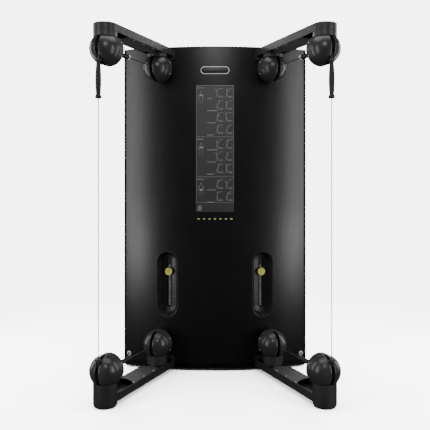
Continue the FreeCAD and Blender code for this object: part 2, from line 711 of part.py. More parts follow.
def make_handle(side):
    """A barrel grip on the cable, with a turned collar at each end."""
    bore = CABLE_RADIUS + 0.1
    bottom = HANDLE_TOP - HANDLE_LENGTH
    top = HANDLE_TOP
    collar = 22.0
    end, mid = HANDLE_END_RADIUS, HANDLE_MID_RADIUS
    grip_low, grip_high = bottom + collar, top - 10
    half_z = (grip_low + grip_high) / 2
    barrel = [
        Part.LineSegment(Vector(bore, 0, grip_low), Vector(end + 1, 0, grip_low)),
        Part.Arc(Vector(end + 1, 0, grip_low), Vector(mid, 0, half_z), Vector(end, 0, grip_high)),
        Part.LineSegment(Vector(end, 0, grip_high), Vector(bore, 0, grip_high)),
        Part.LineSegment(Vector(bore, 0, grip_high), Vector(bore, 0, grip_low)),
    ]
    face = Part.Face(Part.Wire([edge.toShape() for edge in barrel]))
    grip = face.revolve(Vector(0, 0, 0), UP, 360)
    lower = turned([(bore, bottom), (15, bottom), (19, bottom + 3), (19, bottom + 13),
                    (16.5, bottom + 18), (15, grip_low), (bore, grip_low)])
    upper = turned([(bore, grip_high), (end + 1, grip_high), (end + 1, top - 3), (end - 2, top),
                    (bore, top)])
    return [handle_place(shape, side) for shape in (grip, lower, upper)]


# ---- small fixed pieces ----------------------------------------------------------------

PLACARD_HALF = 132.0
PLACARD_Z = (1108.0, 1991.0)
BADGE_HALF = 100.0
BADGE_Z = (2067.0, 2120.0)
CORNER_BOLTS = [(side * 610.0, z) for side in (-1, 1) for z in (99.0, 2203.0)]


def make_corner_bolts():
    """A socket-head screw in a wide dished washer, at each corner of the front."""
    shapes = []
    for x, z in CORNER_BOLTS:
        y = panel_y(x)
        normal = (x / PANEL_RADIUS, (y - PANEL_AXIS_Y) / PANEL_RADIUS, 0)
        washer = turned([(6, 1.5), (6, 5.5), (11, 5.5), (17, 2.5), (17, 0.2), (12, 0.2)], (x, y, z), normal)
        socket = 3.0
        head = turned([(0, 4), (socket, 4), (socket, 8.5), (5.2, 8.5), (5.9, 7.5), (5.9, 1.7), (0, 1.7)],
                      (x, y, z), normal)
        shapes.extend([washer, head])
    return shapes


def make_foot_pads():
    pads = []
    for side in SIDES.values():
        pad = turned([(0, 0), (COLUMN_RADIUS - 9, 0), (COLUMN_RADIUS - 5, 4),
                      (COLUMN_RADIUS - 5, COLUMN_PLINTH_BOTTOM), (0, COLUMN_PLINTH_BOTTOM)])
        pads.append(on_arm(pad, side))
        for x, y in ((250.0, 300.0), (560.0, 350.0), (500.0, 525.0), (120.0, 525.0)):
            disc = turned([(0, 0), (22, 0), (25, 3), (25, FLOOR_PLATE[0]), (0, FLOOR_PLATE[0])])
            disc.translate(Vector(side * x, y, 0))
            pads.append(disc)
    return pads


# ---- build -----------------------------------------------------------------------------


def export_cabinet():
    export("front_panel", make_front_panel())
    export("panel_edge_trims", *make_edge_trims())
    export("kick_strips", *make_kick_strips())
    export("side_covers", *make_side_covers())
    export("rear_covers", make_rear_cover(COVER_SPLIT_Z + 1, CABINET_TOP - 6.5),
           make_rear_cover(20.5, COVER_SPLIT_Z - 1))
    export("top_cover", make_top_cover())
    export("base_frame", make_base_frame())
    export("cabinet_frame", *make_uprights(), *make_crossbeams())
    export("foot_pads", *make_foot_pads())
    export("exercise_placard", panel_band(1.6, 0, -PLACARD_HALF, PLACARD_HALF, *PLACARD_Z))
    export("badge_plate", panel_band(2.4, 0, -BADGE_HALF, BADGE_HALF, *BADGE_Z))
    export("panel_corner_bolts", *make_corner_bolts())


def export_stacks():
    export("guide_rods", *make_guide_rods())
    export("stack_buffers", *make_stack_buffers())
    export("resting_plates", *[plate for side in SIDES.values() for plate in make_resting_plates(side)])
    for name, side in SIDES.items():
        export("lifted_plates_" + name, *make_lifted_plates(side))


def export_selectors():
    export("selector_rails", *[make_selector_rail(side) for side in SIDES.values()])
    export("selector_bushes", *[bush for side in SIDES.values() for bush in make_selector_bushes(side)])
    for name, side in SIDES.items():
        export("recess_tray_" + name, make_recess_tray(side))
        export("selector_carriage_" + name, make_selector_carriage(side))
        export("selector_knob_" + name, *make_selector_knob(side))


def export_arms():
    export("arm_covers", *make_arm_covers())
    export("arm_root_flanges", *make_root_flanges())
    for name, side in SIDES.items():
        export("upper_arm_" + name, make_upper_arm(side))
        export("lower_arm_" + name, make_lower_arm(side))


def corner(shape, side, level, t=0.0):
    z = UPPER_BALL_Z if level > 0 else LOWER_BALL_Z
    return on_arm(at_level(shape, level), side, t, z)


def every_corner(shapes, t=0.0):
    return [corner(shape, side, level, t)
            for level in LEVELS.values() for side in SIDES.values() for shape in shapes]


def export_fixed_ball_pieces():
    heights = {1: UPPER_ARM_TOP - ARM_HEIGHT - UPPER_BALL_Z,
               -1: LOWER_BALL_Z - LOWER_ARM_BOTTOM - ARM_HEIGHT}
    inner_cradles = [corner(make_cradle(INNER_COLUMN_RADIUS, height), side, level, INNER_COLUMN_T)
                     for level, height in heights.items() for side in SIDES.values()]
    export("outer_cradles", *every_corner([make_cradle(COLUMN_RADIUS, CRADLE_HEIGHT)]))
    export("inner_cradles", *inner_cradles)
    snouts = [corner(make_snout(OUTER_RING_BACK, OUTER_SNOUT_ENDS[level]), side, level)
              for level in LEVELS.values() for side in SIDES.values()]
    export("outer_rings", *every_corner([make_ring(True)]), *snouts)
    export("inner_rings", *every_corner([make_ring(False), make_snout(INNER_RING_BACK, INNER_SNOUT_END)],
                                        INNER_COLUMN_T))
    export("inner_balls", *every_corner(make_ball_shell(False) + [make_axle(False)], INNER_COLUMN_T))
    export("arm_cables", *every_corner([make_arm_cable()]))
    export("button_screws", *make_cover_screws(), *every_corner(make_ring_screws(OUTER_RING_BACK)),
           *every_corner(make_ring_screws(INNER_RING_BACK), INNER_COLUMN_T))


def export_moving_ball_pieces():
    for level_name, level in LEVELS.items():
        for side_name, side in SIDES.items():
            suffix = level_name + "_" + side_name
            export("ball_shell_" + suffix,
                   *[corner(shape, side, level) for shape in make_ball_shell(True) + [make_axle(True)]])
            export("cable_guide_" + suffix, corner(make_guide(), side, level))
            export("outer_sheave_" + suffix, corner(make_sheave(True), side, level))
            export("inner_sheave_" + suffix, corner(make_sheave(False), side, level, INNER_COLUMN_T))
    long_run = UPPER_BALL_Z - GUIDE_MOUTH - 1 - LOWER_BALL_Z
    for side_name, side in SIDES.items():
        export("cable_bend_" + side_name, corner(make_cable_bend(-GUIDE_MOUTH), side, 1))
        export("training_cable_" + side_name, corner(make_cable_bend(-long_run), side, -1))
        export("handle_" + side_name, *make_handle(side))


os.makedirs("parts", exist_ok=True)
export_cabinet()
export_stacks()
export_selectors()
export_arms()
export_fixed_ball_pieces()
export_moving_ball_pieces()
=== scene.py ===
import json
from math import asin, ceil, copysign, cos, pi, radians, sin, sqrt

import bmesh
import bpy
from mathutils import Matrix, Vector

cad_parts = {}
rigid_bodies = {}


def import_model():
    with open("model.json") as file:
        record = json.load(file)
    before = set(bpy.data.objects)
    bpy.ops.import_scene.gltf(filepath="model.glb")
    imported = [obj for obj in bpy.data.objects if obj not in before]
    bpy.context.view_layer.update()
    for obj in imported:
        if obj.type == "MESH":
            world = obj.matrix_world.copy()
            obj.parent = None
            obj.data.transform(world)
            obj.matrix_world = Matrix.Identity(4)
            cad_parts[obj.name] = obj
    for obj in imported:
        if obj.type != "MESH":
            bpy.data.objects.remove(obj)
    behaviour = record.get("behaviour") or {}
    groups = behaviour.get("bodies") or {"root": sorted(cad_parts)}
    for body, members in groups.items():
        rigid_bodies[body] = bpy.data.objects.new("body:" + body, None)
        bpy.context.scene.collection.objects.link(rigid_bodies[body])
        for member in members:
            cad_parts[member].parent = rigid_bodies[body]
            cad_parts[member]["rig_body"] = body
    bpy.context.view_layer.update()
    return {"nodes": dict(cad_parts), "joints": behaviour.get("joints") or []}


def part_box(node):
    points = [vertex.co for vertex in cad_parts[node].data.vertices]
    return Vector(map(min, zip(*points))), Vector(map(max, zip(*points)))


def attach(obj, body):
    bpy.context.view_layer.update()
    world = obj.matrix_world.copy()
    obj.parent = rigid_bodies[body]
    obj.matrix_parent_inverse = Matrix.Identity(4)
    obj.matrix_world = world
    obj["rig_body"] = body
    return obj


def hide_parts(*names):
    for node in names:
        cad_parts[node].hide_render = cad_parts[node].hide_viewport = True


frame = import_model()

# A functional trainer, drawn round its CAD frame. Shapes are built in millimetres and
# placed in metres. On an arm, x runs along it to the cabinet, y outwards, and z away from
# the other arm of the same side.

MM = 0.001
TO_METRES = Matrix.Scale(MM, 4)
SIDES = {"left": -1, "right": 1}
LEVELS = {"upper": 1, "lower": -1}
CORNERS = [(level, side) for level in LEVELS for side in SIDES]
JOINT = {joint["name"]: joint for joint in frame["joints"]}
UP = Vector((0, 0, 1))
shift = Matrix.Translation
AXES = {"x": Matrix.Rotation(radians(90), 4, "Y"),
        "y": Matrix.Rotation(radians(-90), 4, "X"),
        "z": Matrix()}


def circle_angles(count):
    return [2 * pi * step / count for step in range(count)]


def linked(name, data):
    """A new object, in the scene."""
    made = bpy.data.objects.new(name, data)
    bpy.context.scene.collection.objects.link(made)
    return made


# ---- the camera ----

camera_data = bpy.data.cameras.new("camera")
camera_data.lens = 50.4
camera_data.sensor_width = 36
camera_data.shift_y = -0.072
camera = linked("camera", camera_data)
camera.location = (0, -3.9935, 1.3025)
camera.rotation_euler = (radians(90), 0, 0)
bpy.context.scene.camera = camera

# ---- sizes, in millimetres ----

WELD = 0.001
PANEL_RADIUS = 1835.5
PANEL_AXIS_Y = 2025.0
RECESS_X = 335.0
RECESS_Z = 601.0
RECESS_WIDTH, RECESS_HEIGHT, RECESS_DEPTH = 140.0, 450.0, 62.0
SLOT_WIDTH, SLOT_HEIGHT, SLOT_RISE = 36.0, 355.0, 6.0
TRAY_SKIN = 3.0

BALL_RADIUS = 93.95
DOME_FACE_Y = 11.0
RING_RADIUS = 93.0
RING_FRONT = 12.0
OUTER_RING_BACK, INNER_RING_BACK = 62.0, 50.0
OUTER_TUBE_ENDS = {"upper": 248.0, "lower": 290.0}
INNER_TUBE_END = 126.0
TUBE_RADIUS = 14.0
HUB_RADIUS, HUB_END = 20.0, 44.0
PLATE_RADIUS, PLATE_BORE, PLATE_THICKNESS = 92.0, 44.0, 4.9
RING_WALL = 6.0
BOSS_LENGTH = 16.0
CABLE_RADIUS = 3.0
CABLE_BORE = 6.0
ROPE_STRANDS, ROPE_LAY, ROPE_SPACING = 6, 46.0, 4.0
PITCH_RADIUS = 36.0
AXLE_RADIUS = 6.0
ARM_CABLE_END = 782.0
GUIDE_MOUTH = 84.0
GUIDE_INSIDE = 14.0

KNOB_RADIUS = 27.5
KNOB_Z = 685.0
KNOB_FRONT, KNOB_DEPTH, STEM_END = 36.0, 22.0, 71.0
STEM_RADIUS = 5.0
LOWER_COLLAR, UPPER_COLLAR = 22.0, 10.0
GRIP_END_RADIUS, GRIP_SWELL, GRIP_TAPER, GRIP_GROOVE = 13.0, 4.4, 0.8, 0.5
CORNER_BOLT_X = 610.0
CORNER_BOLT_HEIGHTS = (99.0, 2203.0)
COVER_SCREW_STATIONS = (232.0, 355.0, 478.0)
COVER_SCREW_Y = -57.0
COVER_THICKNESS = 4.0
SIDE_COVER_FRONT_X, SIDE_COVER_REAR_X = 641.0, 592.0

PLACARD_PROUD = 1.6
INK_DEPTH, INK_HEIGHT = 0.1, 0.22
CORD_PEN, EDGE_PEN, THIN_PEN, RULE_PEN = 0.8, 1.2, 1.3, 1.4
LIMB_PEN, TRUNK_PEN, CAPTION_PEN, NOTE_PEN = 1.7, 2.4, 3.0, 3.4
PEN_STEP = 45.0
ACCENT_MARKS, ACCENT_SPAN, ACCENT_Z = 7, 228.0, 1060.0
ACCENT_WIDTH, ACCENT_HEIGHT = 15.0, 9.0

# ---- how bright the floor and the world are ----

FLOOR_SEEN = 7.0
SKY_SEEN = 6.0
SKY_FILL = 0.06

# ---- places ----


def arm_place(level, side, inner=False):
    """The place of a ball's own frame: its outer end of the arm, or the one by the cabinet."""
    swivel = JOINT[f"{level}_swivel_{side}"]
    along = Vector(swivel["axis"]).normalized()
    centre = Vector(swivel["pos_m"])
    if inner:
        sheave = Vector(JOINT[f"inner_sheave_{level}_spin_{side}"]["pos_m"])
        centre = Vector((sheave.x, sheave.y, centre.z))
    out = -SIDES[side] * UP.cross(along)
    turn = Matrix((along, out, LEVELS[level] * UP)).transposed().to_4x4()
    return shift(centre) @ turn @ TO_METRES


def panel_y(x, proud=0.0):
    return PANEL_AXIS_Y - sqrt((PANEL_RADIUS + proud) ** 2 - x * x)


def front_place(x, z):
    """A spot on the curved front: local x across, y up, z out of the front."""
    y = panel_y(x)
    out = Vector((x, y - PANEL_AXIS_Y, 0)).normalized()
    turn = Matrix((UP.cross(out), UP, out)).transposed().to_4x4()
    return shift(MM * Vector((x, y, z))) @ turn @ TO_METRES


def recess_place(side, z):
    """A recess's own frame: local x across, y into the cabinet, z up."""
    angle = SIDES[side] * asin(RECESS_X / PANEL_RADIUS)
    x = SIDES[side] * RECESS_X
    place = shift(MM * Vector((x, panel_y(x), z)))
    return place @ Matrix.Rotation(angle, 4, "Z") @ TO_METRES


def facing(direction, distance):
    """Local z along a direction from the middle, at a distance along it."""
    way = Vector(direction).normalized()
    return shift(way * distance) @ way.to_track_quat("Z", "Y").to_matrix().to_4x4()


# ---- mesh shapes ----


class Shape:
    """Vertices and faces in millimetres, before they are placed."""

    def __init__(self, points=(), faces=()):
        self.points = [Vector(point) for point in points]
        self.faces = [tuple(face) for face in faces]

    def add(self, other, place=Matrix()):
        start = len(self.points)
        self.points += [place @ point for point in other.points]
        self.faces += [tuple(start + index for index in face) for face in other.faces]
        return self

    def moved(self, place):
        return Shape().add(self, place)

    def to_bmesh(self):
        mesh = bmesh.new()
        vertices = [mesh.verts.new(point) for point in self.points]
        for face in self.faces:
            mesh.faces.new([vertices[index] for index in face])
        return mesh


def from_bmesh(mesh):
    mesh.verts.index_update()
    shape = Shape([vertex.co.copy() for vertex in mesh.verts],
                  [[vertex.index for vertex in face.verts] for face in mesh.faces])
    mesh.free()
    return shape


def loft(rings, closed=False, capped=True):
    """Faces between rings of equally many points. A closed loft joins its last ring to its first."""
    count = len(rings[0])
    pairs = [(i, i + 1) for i in range(len(rings) - 1)] + ([(len(rings) - 1, 0)] if closed else [])
    faces = [(a * count + i, a * count + (i + 1) % count, b * count + (i + 1) % count, b * count + i)
             for a, b in pairs for i in range(count)]
    if capped and not closed:
        last = (len(rings) - 1) * count
        faces += [range(count), range(last, last + count)]
    return Shape([point for ring in rings for point in ring], faces)


def softened_corners(profile):
    """Rounds each (radius, height, rounding) corner of an outline."""
    steps = 3
    result = []
    for i, corner in enumerate(profile):
        here = Vector(corner[:2])
        rounding = corner[2] if len(corner) > 2 else 0
        if not rounding:
            result.append(here)
            continue
        before, after = Vector(profile[i - 1][:2]), Vector(profile[(i + 1) % len(profile)][:2])
        start = here + (before - here).normalized() * min(rounding, (before - here).length * 0.49)
        end = here + (after - here).normalized() * min(rounding, (after - here).length * 0.49)
        for step in range(steps + 1):
            t = step / steps
            result.append(start * (1 - t) ** 2 + here * 2 * t * (1 - t) + end * t ** 2)
    return result


def lathe(profile, segments=48, axis="z", closed=False, flutes=(0, 0.0, 0.0)):
    """A turned shape. `flutes` are (count, depth, from radius) of the grooves along its outside."""
    count, flute_depth, least = flutes
    rings = []
    for radius, height in softened_corners(profile):
        ring = []
        for angle in circle_angles(segments):
            groove = flute_depth * (0.5 + 0.5 * cos(count * angle)) if radius > least else 0
            ring.append(((radius - groove) * cos(angle), (radius - groove) * sin(angle), height))
        rings.append(ring)
    return loft(rings, closed, False).moved(AXES[axis])


def rounded_outline(width, height, radius, arc_points, straight_points):
    """(x, z) points round a rounded rectangle, equally many for each width, height and radius."""
    arcs = []
    for sign_x, sign_z, start in ((1, 1, 0), (-1, 1, 90), (-1, -1, 180), (1, -1, 270)):
        centre = Vector((sign_x * (width / 2 - radius), sign_z * (height / 2 - radius)))
        angles = [radians(start + 90 * step / arc_points) for step in range(arc_points + 1)]
        arcs.append([centre + radius * Vector((cos(a), sin(a))) for a in angles])
    points = []
    for i, arc in enumerate(arcs):
        first = arcs[(i + 1) % 4][0]
        points += arc + [arc[-1].lerp(first, step / (straight_points + 1))
                         for step in range(1, straight_points + 1)]
    return points


def sliced(shape, point, normal):
    """The part of a closed shape behind a plane, closed again."""
    mesh = shape.to_bmesh()
    bmesh.ops.remove_doubles(mesh, verts=mesh.verts, dist=WELD)
    everything = mesh.verts[:] + mesh.edges[:] + mesh.faces[:]
    bmesh.ops.bisect_plane(mesh, geom=everything, plane_co=point, plane_no=normal, clear_outer=True)
    bmesh.ops.holes_fill(mesh, edges=mesh.edges[:], sides=0)
    return from_bmesh(mesh)


def drilled(shape, tool):
    """A closed shape less another closed shape."""
    objects = []
    for part in (shape, tool):
        source = part.to_bmesh()
        bmesh.ops.remove_doubles(source, verts=source.verts, dist=WELD)
        bmesh.ops.recalc_face_normals(source, faces=source.faces)
        mesh = bpy.data.meshes.new("drilling")
        source.to_mesh(mesh)
        source.free()
        objects.append(linked("drilling", mesh))
    cut = objects[0].modifiers.new("cut", "BOOLEAN")
    cut.operation = "DIFFERENCE"
    cut.object = objects[1]
    graph = bpy.context.evaluated_depsgraph_get()
    result = bmesh.new()
    result.from_mesh(objects[0].evaluated_get(graph).data)
    for made in objects:
        bpy.data.objects.remove(made)
    return from_bmesh(result)


def finished(name, mesh, body, material, replaces, sharp):
    """An object on a CAD body, made of a bmesh. Edges over `sharp` degrees stay sharp."""
    data = bpy.data.meshes.new(name)
    mesh.to_mesh(data)
    mesh.free()
    data.shade_smooth()
    data.set_sharp_from_angle(angle=radians(sharp))
    data.materials.append(MATERIAL[material])
    made = linked(name, data)
    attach(made, body)
    if replaces:
        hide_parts(*replaces)
    return made


def piece(name, shape, body, material, replaces=(), place=None, sharp=35):
    """A finished Blender piece that rides on a CAD body."""
    mesh = (shape.moved(place) if place else shape).to_bmesh()
    bmesh.ops.remove_doubles(mesh, verts=mesh.verts, dist=2e-6)
    bmesh.ops.dissolve_degenerate(mesh, edges=mesh.edges, dist=1e-6)
    bmesh.ops.recalc_face_normals(mesh, faces=mesh.faces)
    finished(name, mesh, body, material, replaces, sharp)


def rounded_copy(node, width, slot, exact_front=False):
    """A CAD node's own shape, with its sharp edges rounded by `width` millimetres.

    With `exact_front`, it is shaded as the exact curve of the front.
    """
    mesh = bmesh.new()
    mesh.from_mesh(frame["nodes"][node].data)
    bmesh.ops.remove_doubles(mesh, verts=mesh.verts, dist=3e-6)
    bmesh.ops.dissolve_limit(mesh, angle_limit=radians(0.5), verts=mesh.verts, edges=mesh.edges)
    sharp = [edge for edge in mesh.edges
             if len(edge.link_faces) == 2 and edge.calc_face_angle(0) > radians(38)]
    bmesh.ops.bevel(mesh, geom=sharp, offset=width * MM, segments=2, profile=0.6,
                    affect="EDGES", clamp_overlap=True)
    body = frame["nodes"][node]["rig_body"]
    made = finished(node + "_finished", mesh, body, slot, [node], 32)
    if exact_front:
        follow_front(made.data)
    else:
        made.modifiers.new("weighted", "WEIGHTED_NORMAL").keep_sharp = True


def follow_front(data):
    """Gives the faces that lie on the curved front the exact normals of its cylinder."""
    axis_y = PANEL_AXIS_Y * MM
    normals = [Vector(corner.vector) for corner in data.corner_normals]
    for polygon in data.polygons:
        out = Vector((polygon.center.x, polygon.center.y - axis_y, 0)).normalized()
        along = polygon.normal.dot(out)
        if abs(along) < cos(radians(4)):
            continue
        for index in polygon.loop_indices:
            point = data.vertices[data.loops[index].vertex_index].co
            normals[index] = Vector((point.x, point.y - axis_y, 0)).normalized() * copysign(1, along)
    data.normals_split_custom_set(normals)


# ---- materials ----

MATERIAL = {}


class Finish:
    """A procedural material: a principled shader and the nodes that feed it."""

    def __init__(self, name, metallic=0.0):
        material = bpy.data.materials.new(name)
        material.use_nodes = True
        MATERIAL[name] = material
        self.tree = material.node_tree
        self.shader = self.tree.nodes["Principled BSDF"]
        self.shader.inputs["Metallic"].default_value = metallic
        self.place = self.node("ShaderNodeTexCoord").outputs["Object"]
        self.normal = None

    def feed(self, socket, value):
        if isinstance(value, bpy.types.NodeSocket):
            self.tree.links.new(value, socket)
        else:
            socket.default_value = value

    def node(self, kind, inputs=(), **settings):
        made = self.tree.nodes.new(kind)
        for key, value in settings.items():
            setattr(made, key, value)
        for key, value in dict(inputs).items():
            self.feed(made.inputs[key], value)
        return made

    def noise(self, size, detail, stretch=(1, 1, 1)):
        """Noise with features about `size` millimetres across."""
        place = self.node("ShaderNodeMapping", {"Vector": self.place, "Scale": stretch})
        made = self.node("ShaderNodeTexNoise", {"Vector": place.outputs["Vector"],
                                                "Scale": 1 / (size * MM), "Detail": detail})
        return made.outputs["Fac"]

    def spread(self, value, low, high, new_low, new_high):
        made = self.node("ShaderNodeMapRange", {"Value": value, "From Min": low, "From Max": high,
                                                "To Min": new_low, "To Max": new_high})
        return made.outputs["Result"]

    def maths(self, operation, a, b):
        return self.node("ShaderNodeMath", {0: a, 1: b}, operation=operation).outputs[0]

    def mixed(self, factor, a, b):
        """Colour a where the factor is 0 and colour b where it is 1."""
        made = self.node("ShaderNodeMix", {0: factor, 6: a, 7: b}, data_type="RGBA")
        return made.outputs[2]

    def soften_edges(self, radius):
        """Light rolls over the edges; the value given back is 1 on them and 0 on flat ground."""
        rolled = self.node("ShaderNodeBevel", {"Radius": radius * MM}, samples=4).outputs["Normal"]
        plain = self.node("ShaderNodeNewGeometry").outputs["Normal"]
        match = self.node("ShaderNodeVectorMath", {0: rolled, 1: plain}, operation="DOT_PRODUCT")
        self.normal = rolled
        return self.spread(match.outputs["Value"], 0.99, 0.8, 0.0, 1.0)

    def relief(self, height, depth):
        """Bumps `depth` millimetres deep."""
        made = self.node("ShaderNodeBump", {"Height": height, "Distance": depth * MM, "Strength": 1.0})
        if self.normal:
            self.feed(made.inputs["Normal"], self.normal)
        self.normal = made.outputs["Normal"]

    def done(self, colour, roughness, specular=0.5, **extra):
        self.feed(self.shader.inputs["Base Color"], colour)
        self.feed(self.shader.inputs["Roughness"], roughness)
        self.feed(self.shader.inputs["Specular IOR Level"], specular)
        if self.normal:
            self.feed(self.shader.inputs["Normal"], self.normal)
        for key, value in extra.items():
            self.feed(self.shader.inputs[key.replace("_", " ").title()], value)


def shade(colour, factor):
    return tuple(min(1.0, channel * factor) for channel in colour) + (1.0,)


def coated(name, colour, roughness, grain=0.7, depth=0.01, wear=0.3, gloss_drift=0.08, rounding=1.2,
           specular=0.5):
    """Paint or moulded plastic: cloudy tone and gloss, fine grain, and edges rubbed brighter."""
    finish = Finish(name)
    edge = finish.soften_edges(rounding)
    cloud = finish.noise(140, 5)
    speck = finish.noise(grain, 2)
    smear = finish.noise(34, 4, (1, 1, 0.25))
    tone = finish.mixed(finish.spread(cloud, 0.35, 0.65, 0, 1), shade(colour, 0.86), shade(colour, 1.14))
    tone = finish.mixed(finish.spread(speck, 0.55, 0.8, 0, 0.4), tone, shade(colour, 1.7))
    rub = finish.maths("MULTIPLY", edge, finish.spread(finish.noise(9, 4), 0.45, 0.6, wear * 0.3, wear))
    tone = finish.mixed(rub, tone, shade(colour, 3.2))
    drift = finish.spread(smear, 0.3, 0.7, -gloss_drift, gloss_drift)
    finish.relief(speck, depth)
    finish.done(tone, finish.maths("ADD", drift, roughness), specular)


def brushed(name, colour, roughness, stretch=(1, 1, 14), metallic=1.0):
    """Bare or plated steel with fine lines along one direction."""
    finish = Finish(name, metallic)
    finish.soften_edges(0.5)
    lines = finish.noise(2.2, 3, stretch)
    cloud = finish.noise(30, 3)
    tone = finish.mixed(finish.spread(lines, 0.3, 0.7, 0, 1), shade(colour, 0.72), shade(colour, 1.1))
    finish.relief(lines, 0.008)
    rough = finish.maths("ADD", finish.spread(cloud, 0.3, 0.7, -0.06, 0.08), roughness)
    finish.done(tone, rough)


def rubber(name, colour, roughness=0.72):
    finish = Finish(name)
    edge = finish.soften_edges(0.8)
    pores = finish.noise(0.5, 4)
    dust = finish.spread(finish.noise(22, 5), 0.45, 0.75, 0, 0.5)
    tone = finish.mixed(dust, shade(colour, 0.8), shade(colour, 1.8))
    tone = finish.mixed(finish.maths("MULTIPLY", edge, 0.25), tone, shade(colour, 4))
    finish.relief(pores, 0.03)
    finish.done(tone, finish.spread(pores, 0.3, 0.7, roughness - 0.08, roughness + 0.08))


def wire_rope(name, clean, grimy):
    """Steel strands seen through a clear sheath that has collected a little grime."""
    finish = Finish(name, 0.4)
    grime = finish.noise(16, 4)
    wires = finish.noise(0.35, 2, (1, 1, 0.3))
    tone = finish.mixed(finish.spread(grime, 0.4, 0.7, 0, 1), shade(clean, 1), shade(grimy, 1))
    finish.relief(wires, 0.02)
    rough = finish.spread(wires, 0.3, 0.7, 0.28, 0.42)
    finish.done(tone, rough, coat_weight=0.6, coat_roughness=0.15)


def film_with_painted_shade(name, colour):
    """A satin film with painted light and shade: lighter at its top and darker at its foot, standing in
    for how the light falls on it.
    """
    finish = Finish(name)
    finish.soften_edges(0.6)
    height = finish.node("ShaderNodeSeparateXYZ", {"Vector": finish.place}).outputs["Z"]
    # painted light and shade: the film's colour goes darker towards its foot and lighter towards its top,
    # as the light falls on it
    painted_shade_ramp = finish.spread(height, 1.1, 2.0, 0, 1)
    weave = finish.noise(1.4, 2)
    tone = finish.mixed(painted_shade_ramp, shade(colour, 0.8), shade(colour, 1.25))
    tone = finish.mixed(finish.spread(weave, 0.5, 0.8, 0, 0.25), tone, shade(colour, 1.8))
    finish.relief(weave, 0.006)
    finish.done(tone, finish.spread(finish.noise(60, 4), 0.3, 0.7, 0.34, 0.48))


def make_materials():
    coated("panel_black", (0.005, 0.0054, 0.0062), 0.29, grain=1.1, depth=0.0025,
           gloss_drift=0.015, rounding=2.0)
    coated("trim_black", (0.003, 0.003, 0.0033), 0.6, grain=0.8, depth=0.012, wear=0.1,
           gloss_drift=0.04, rounding=1.0, specular=0.15)
    coated("cover_black", (0.016, 0.016, 0.017), 0.5, grain=1.6, depth=0.05, gloss_drift=0.035)
    coated("frame_steel", (0.02, 0.02, 0.021), 0.45, grain=1.3, depth=0.03, wear=0.4)
    rubber("foot_rubber", (0.012, 0.012, 0.012))
    film_with_painted_shade("placard", (0.044, 0.0445, 0.047))
    coated("placard_ink", (0.36, 0.36, 0.37), 0.5, grain=0.6, depth=0.002, wear=0.0)
    coated("badge", (0.008, 0.008, 0.009), 0.34, grain=0.5, depth=0.002, wear=0.1, gloss_drift=0.03)
    coated("badge_rim", (0.75, 0.75, 0.76), 0.3, grain=0.5, depth=0.002, wear=0.1, gloss_drift=0.05)
    coated("accent_green", (0.50, 0.54, 0.09), 0.4, grain=0.5, depth=0.002, wear=0.0)
    coated("accent_pale", (0.42, 0.43, 0.40), 0.4, grain=0.5, depth=0.002, wear=0.0)
    brushed("bright_steel", (0.62, 0.62, 0.61), 0.34, stretch=(1, 1, 6), metallic=0.25)
    brushed("rod_chrome", (0.8, 0.8, 0.81), 0.12)
    coated("plate_steel", (0.02, 0.02, 0.02), 0.6, grain=2.5, depth=0.12, wear=0.6)
    coated("tray_black", (0.014, 0.0145, 0.0155), 0.36, grain=0.9, depth=0.02)
    coated("rail_steel", (0.008, 0.008, 0.008), 0.35, wear=0.6)
    coated("carriage_black", (0.008, 0.008, 0.0085), 0.4, wear=0.4)
    coated("knob_green", (0.62, 0.66, 0.10), 0.34, depth=0.006, wear=0.05, gloss_drift=0.05)
    coated("knob_cap", (0.60, 0.56, 0.09), 0.4, depth=0.006, wear=0.05, gloss_drift=0.05)
    coated("arm_black", (0.022, 0.0225, 0.024), 0.43, grain=1.2, depth=0.02, wear=0.35)
    coated("arm_cover_grey", (0.036, 0.036, 0.037), 0.5, grain=0.9, depth=0.03)
    coated("housing_black", (0.026, 0.0265, 0.028), 0.40, grain=1.0, depth=0.015, wear=0.35)
    coated("ball_black", (0.030, 0.0305, 0.033), 0.30, grain=0.9, depth=0.008, wear=0.35, gloss_drift=0.05)
    coated("guide_black", (0.008, 0.008, 0.0085), 0.5, depth=0.012, wear=0.4)
    coated("sheave_black", (0.012, 0.012, 0.0125), 0.35, grain=0.8, wear=0.5)
    wire_rope("cable_steel", (0.055, 0.055, 0.057), (0.03, 0.03, 0.031))
    rubber("grip_rubber", (0.013, 0.013, 0.0135), 0.6)
    coated("grip_collar", (0.012, 0.012, 0.0125), 0.28, depth=0.006, wear=0.5, gloss_drift=0.04)


# ---- small fasteners ----

HEAD_SEGMENTS = 24


def hex_ring(apothem, height):
    ring = []
    for angle in circle_angles(HEAD_SEGMENTS):
        off = (angle % (pi / 3)) - pi / 6
        radius = apothem / cos(off)
        ring.append((radius * cos(angle), radius * sin(angle), height))
    return ring


def socket_head(outline, apothem, depth):
    """A screw head from (radius, height) points, with a hexagonal socket in its top."""
    rings = [[(radius * cos(a), radius * sin(a), height) for a in circle_angles(HEAD_SEGMENTS)]
             for radius, height in outline]
    top = outline[-1][1]
    rings += [hex_ring(apothem, top), hex_ring(apothem * 0.97, top - depth)]
    return loft(rings)


BUTTON_HEAD = socket_head([(4.4, 0), (4.4, 0.5), (4.1, 1.1), (3.4, 1.8), (2.5, 2.2)], 1.5, 1.4)
COVER_HEAD = socket_head([(5.0, -0.5), (5.0, 0.4), (4.7, 1.2), (3.9, 2.0), (2.8, 2.4)], 1.7, 1.5)
DOME_SCREW = socket_head([(3.1, -3), (3.1, -0.3), (2.8, 0)], 1.4, 1.3)


def ring_screws(place, back):
    """The two button heads on a ring's flank, on the machine's inner side."""
    shape = Shape()
    from_back = 18
    for angle in (radians(25), radians(-25)):
        way = (0, -cos(angle), sin(angle))
        seat = shift((back - from_back, 0, 0)) @ facing(way, RING_RADIUS - 0.1)
        shape.add(BUTTON_HEAD, place @ seat)
    return shape


